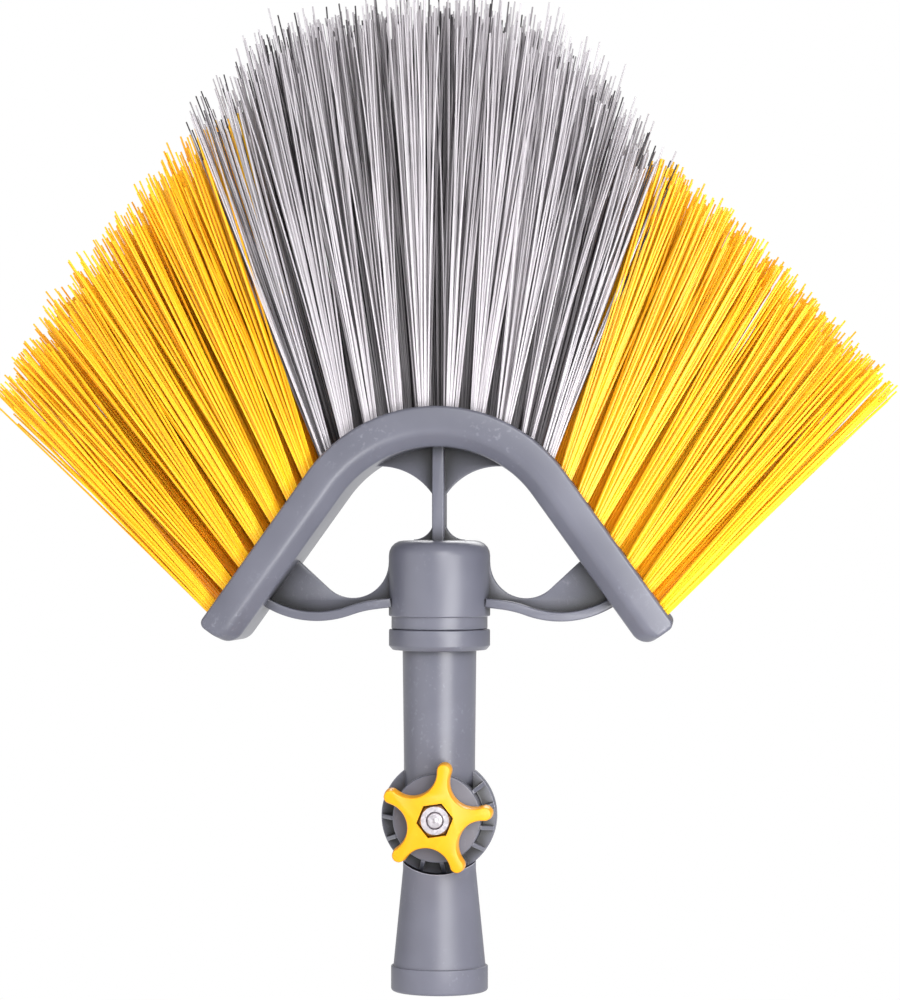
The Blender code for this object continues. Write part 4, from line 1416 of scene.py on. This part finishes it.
# %% The star's outline
knob_arms = 5
tip_reach = 20.3 * mm
tip_radius = 2.7 * mm
valley_reach = 10.2 * mm
knob_turn = math.radians(8.0)
knob_back = boss_face + 1.8 * mm
knob_face = knob_back + 8.2 * mm
tip_steps = 14
valley_steps = 20


def star(inset):
    """The star drawn in by an inset: its tips get smaller and its valleys wider, about the same centres."""
    tip = Vector((tip_reach - tip_radius, 0.0))
    half = math.pi / knob_arms
    shift = valley_reach - tip_radius
    far = (tip.x**2 - shift**2) / (2 * (tip.x * math.cos(half) - shift))
    valley = Vector((math.cos(half), math.sin(half))) * far
    touch_deg = math.degrees(math.atan2(valley.y - tip.y, valley.x - tip.x))
    from_deg = math.degrees(math.atan2(tip.y - valley.y, tip.x - valley.x)) % 360
    to_deg = 2 * (math.degrees(half) + 180) - from_deg
    arm = arc(tip, tip_radius - inset, -touch_deg, touch_deg, tip_steps)
    arm += arc(valley, far - valley_reach + inset, from_deg, to_deg, valley_steps)[1:-1]
    outline = []
    for number in range(knob_arms):
        turn = Matrix.Rotation(knob_turn + number * math.tau / knob_arms, 2)
        outline += [tuple(turn @ Vector(point)) for point in arm]
    return [(x, joint_z + z) for x, z in outline]


# %% The knob
nut_pocket = 6.55 * mm
nut_sunk = 0.8 * mm
nut_height = 5.0 * mm
nut_face = knob_face - nut_sunk
hex_spin = math.radians(30.0) - knob_turn
knob_layers = [
    (knob_back, 0.45 * mm),
    (knob_back + 0.4 * mm, 0.0),
    (knob_face - 0.55 * mm, 0.34 * mm),
    (knob_face - 0.10 * mm, 0.62 * mm),
    (knob_face, 0.85 * mm),
]
knob_rings = [[(x, -depth, z) for x, z in star(inset)] for depth, inset in knob_layers]
knob = skinned("star_knob_moulding", knob_rings)
nut_floor = -nut_face + nut_height + pocket_room
recess = about_bolt("nut_recess", -knob_face - overrun, nut_floor, nut_pocket, 6, spin=hex_spin)
knob = combined(knob, cut(recess, about_bolt("knob_hole", -knob_face, 0, bolt_hole, hole_steps)))
belongs(knob, "knob", "knob_plastic", knob_plastic, "star_knob")

# %% [markdown]
# The metal parts are small, but the nut and the bolt's end face the camera. A nut is a hexagonal prism cut
# down by a cone, which leaves the round bright face and the curved edges of a real nut. The bolt's thread is
# a helix, which Geometry Nodes draw with a spiral.

# %% Nut and bolt head
across_flats = 10.0 * mm
hex_radius = across_flats / math.sqrt(3)
bevel_radius = 4.92 * mm
bevel_slope = math.radians(42)
bevel_drop = (hex_radius - bevel_radius) * math.tan(bevel_slope)
past_corners = hex_radius * 1.1
nut_bore = 3.15 * mm


def hexagon(name, face, back, bevel_front, bevel_back, spin=0.0):
    """A hexagon about the bolt's axis, its corners cut down by a cone at one face or at both."""
    body = about_bolt(name, -face, -back, hex_radius, 6, spin=spin)
    cone = turned(
        name + "_cone",
        [
            ((0.0, face), 0),
            ((bevel_radius if bevel_front else past_corners, face), 0),
            ((hex_radius, face - (bevel_drop if bevel_front else 0)), 0),
            ((hex_radius, back + (bevel_drop if bevel_back else 0)), 0),
            ((bevel_radius if bevel_back else past_corners, back), 0),
            ((0.0, back), 0),
        ],
        onto_bolt(),
    )
    return combined(body, [("INTERSECT", cone)])


nut = hexagon("clamp_nut_steel", nut_face, nut_face - nut_height, True, True, hex_spin)
nut = combined(nut, cut(about_bolt("nut_hole", -nut_face - overrun, 0, nut_bore, hole_steps)))
belongs(nut, "knob", "zinc_steel", zinc, "clamp_nut")


# %% The bolt's thread
thread_pitch = 1.0 * mm
thread_turns = 21.0
thread_middle = 2.75 * mm
tooth_radius = 0.34 * mm
thread_steps = 32


def thread_tree():
    tree, given, result = new_tree(
        "screw_thread",
        [
            ("Radius", "Float", thread_middle),
            ("Pitch", "Float", thread_pitch),
            ("Turns", "Float", thread_turns),
            ("Finish", "Material", None),
        ],
    )
    winding = {
        "Resolution": thread_steps,
        "Rotations": given["Turns"],
        "Start Radius": given["Radius"],
        "End Radius": given["Radius"],
        "Height": maths(tree, "MULTIPLY", given["Pitch"], given["Turns"]),
    }
    helix = node(tree, "GeometryNodeCurveSpiral", winding).outputs[0]
    three_sided = {"Resolution": 3, "Radius": tooth_radius}
    tooth = node(tree, "GeometryNodeCurvePrimitiveCircle", three_sided).outputs[0]
    ridge = {"Curve": helix, "Profile Curve": tooth, "Fill Caps": True}
    both = node(tree, "GeometryNodeJoinGeometry")
    tree.links.new(given[0], both.inputs[0])
    tree.links.new(node(tree, "GeometryNodeCurveToMesh", ridge).outputs[0], both.inputs[0])
    return painted(tree, both.outputs[0], given["Finish"], result)


# %% The bolt
bolt_radius = 3.0 * mm
shank_radius = 2.95 * mm
core_radius = 2.72 * mm
thread_end = thread_turns * thread_pitch + 1 * mm
bolt_end = nut_face + head_seat + 1 * mm
bolt_head_height = 4.0 * mm
shank = turned(
    "clamp_bolt_steel",
    [
        ((0.0, 0.25 * mm), 0),
        ((0.9 * mm, 0.0), 0.1 * mm),
        ((2.5 * mm, 0.0), 0.1 * mm),
        ((bolt_radius, -0.5 * mm), 0),
        ((core_radius, -0.8 * mm), 0),
        ((core_radius, -thread_end), 0),
        ((shank_radius, -(thread_end + 0.4 * mm)), 0),
        ((shank_radius, -bolt_end), 0),
        ((0.0, -bolt_end), 0),
    ],
    steps=hole_steps,
)
shank.data.transform(Matrix.Translation((0.0, 0.0, thread_end)))
shank = grown(shank, thread_tree(), {"Turns": thread_turns, "Finish": zinc})
shank.data.transform(onto_bolt(forwards=nut_face - thread_end))
bolt_head = hexagon("bolt_head", -head_seat, -head_seat - bolt_head_height, False, True)
work = bmesh.new()
for part in (shank, bolt_head):
    work.from_mesh(part.data)
    bpy.data.objects.remove(part, do_unlink=True)
bolt = object_from(work, "clamp_bolt_steel")
belongs(bolt, "socket", "zinc_steel", zinc, "clamp_bolt")

# %% The washer
washer_bore = 3.3 * mm
washer_radius = 6.0 * mm
washer_height = 1.2 * mm
washer_gap = 0.3 * mm
washer_steps = 64
washer = turned(
    "knob_washer_steel",
    [
        ((washer_bore, washer_height), 0),
        ((washer_radius, washer_height), 0.25 * mm),
        ((washer_radius, 0.0), 0.1 * mm),
        ((washer_bore, 0.0), 0),
        ((washer_bore, washer_height), 0),
    ],
    onto_bolt(forwards=boss_face + washer_gap),
    washer_steps,
)
belongs(washer, "washer", "zinc_steel", zinc, "knob_washer")
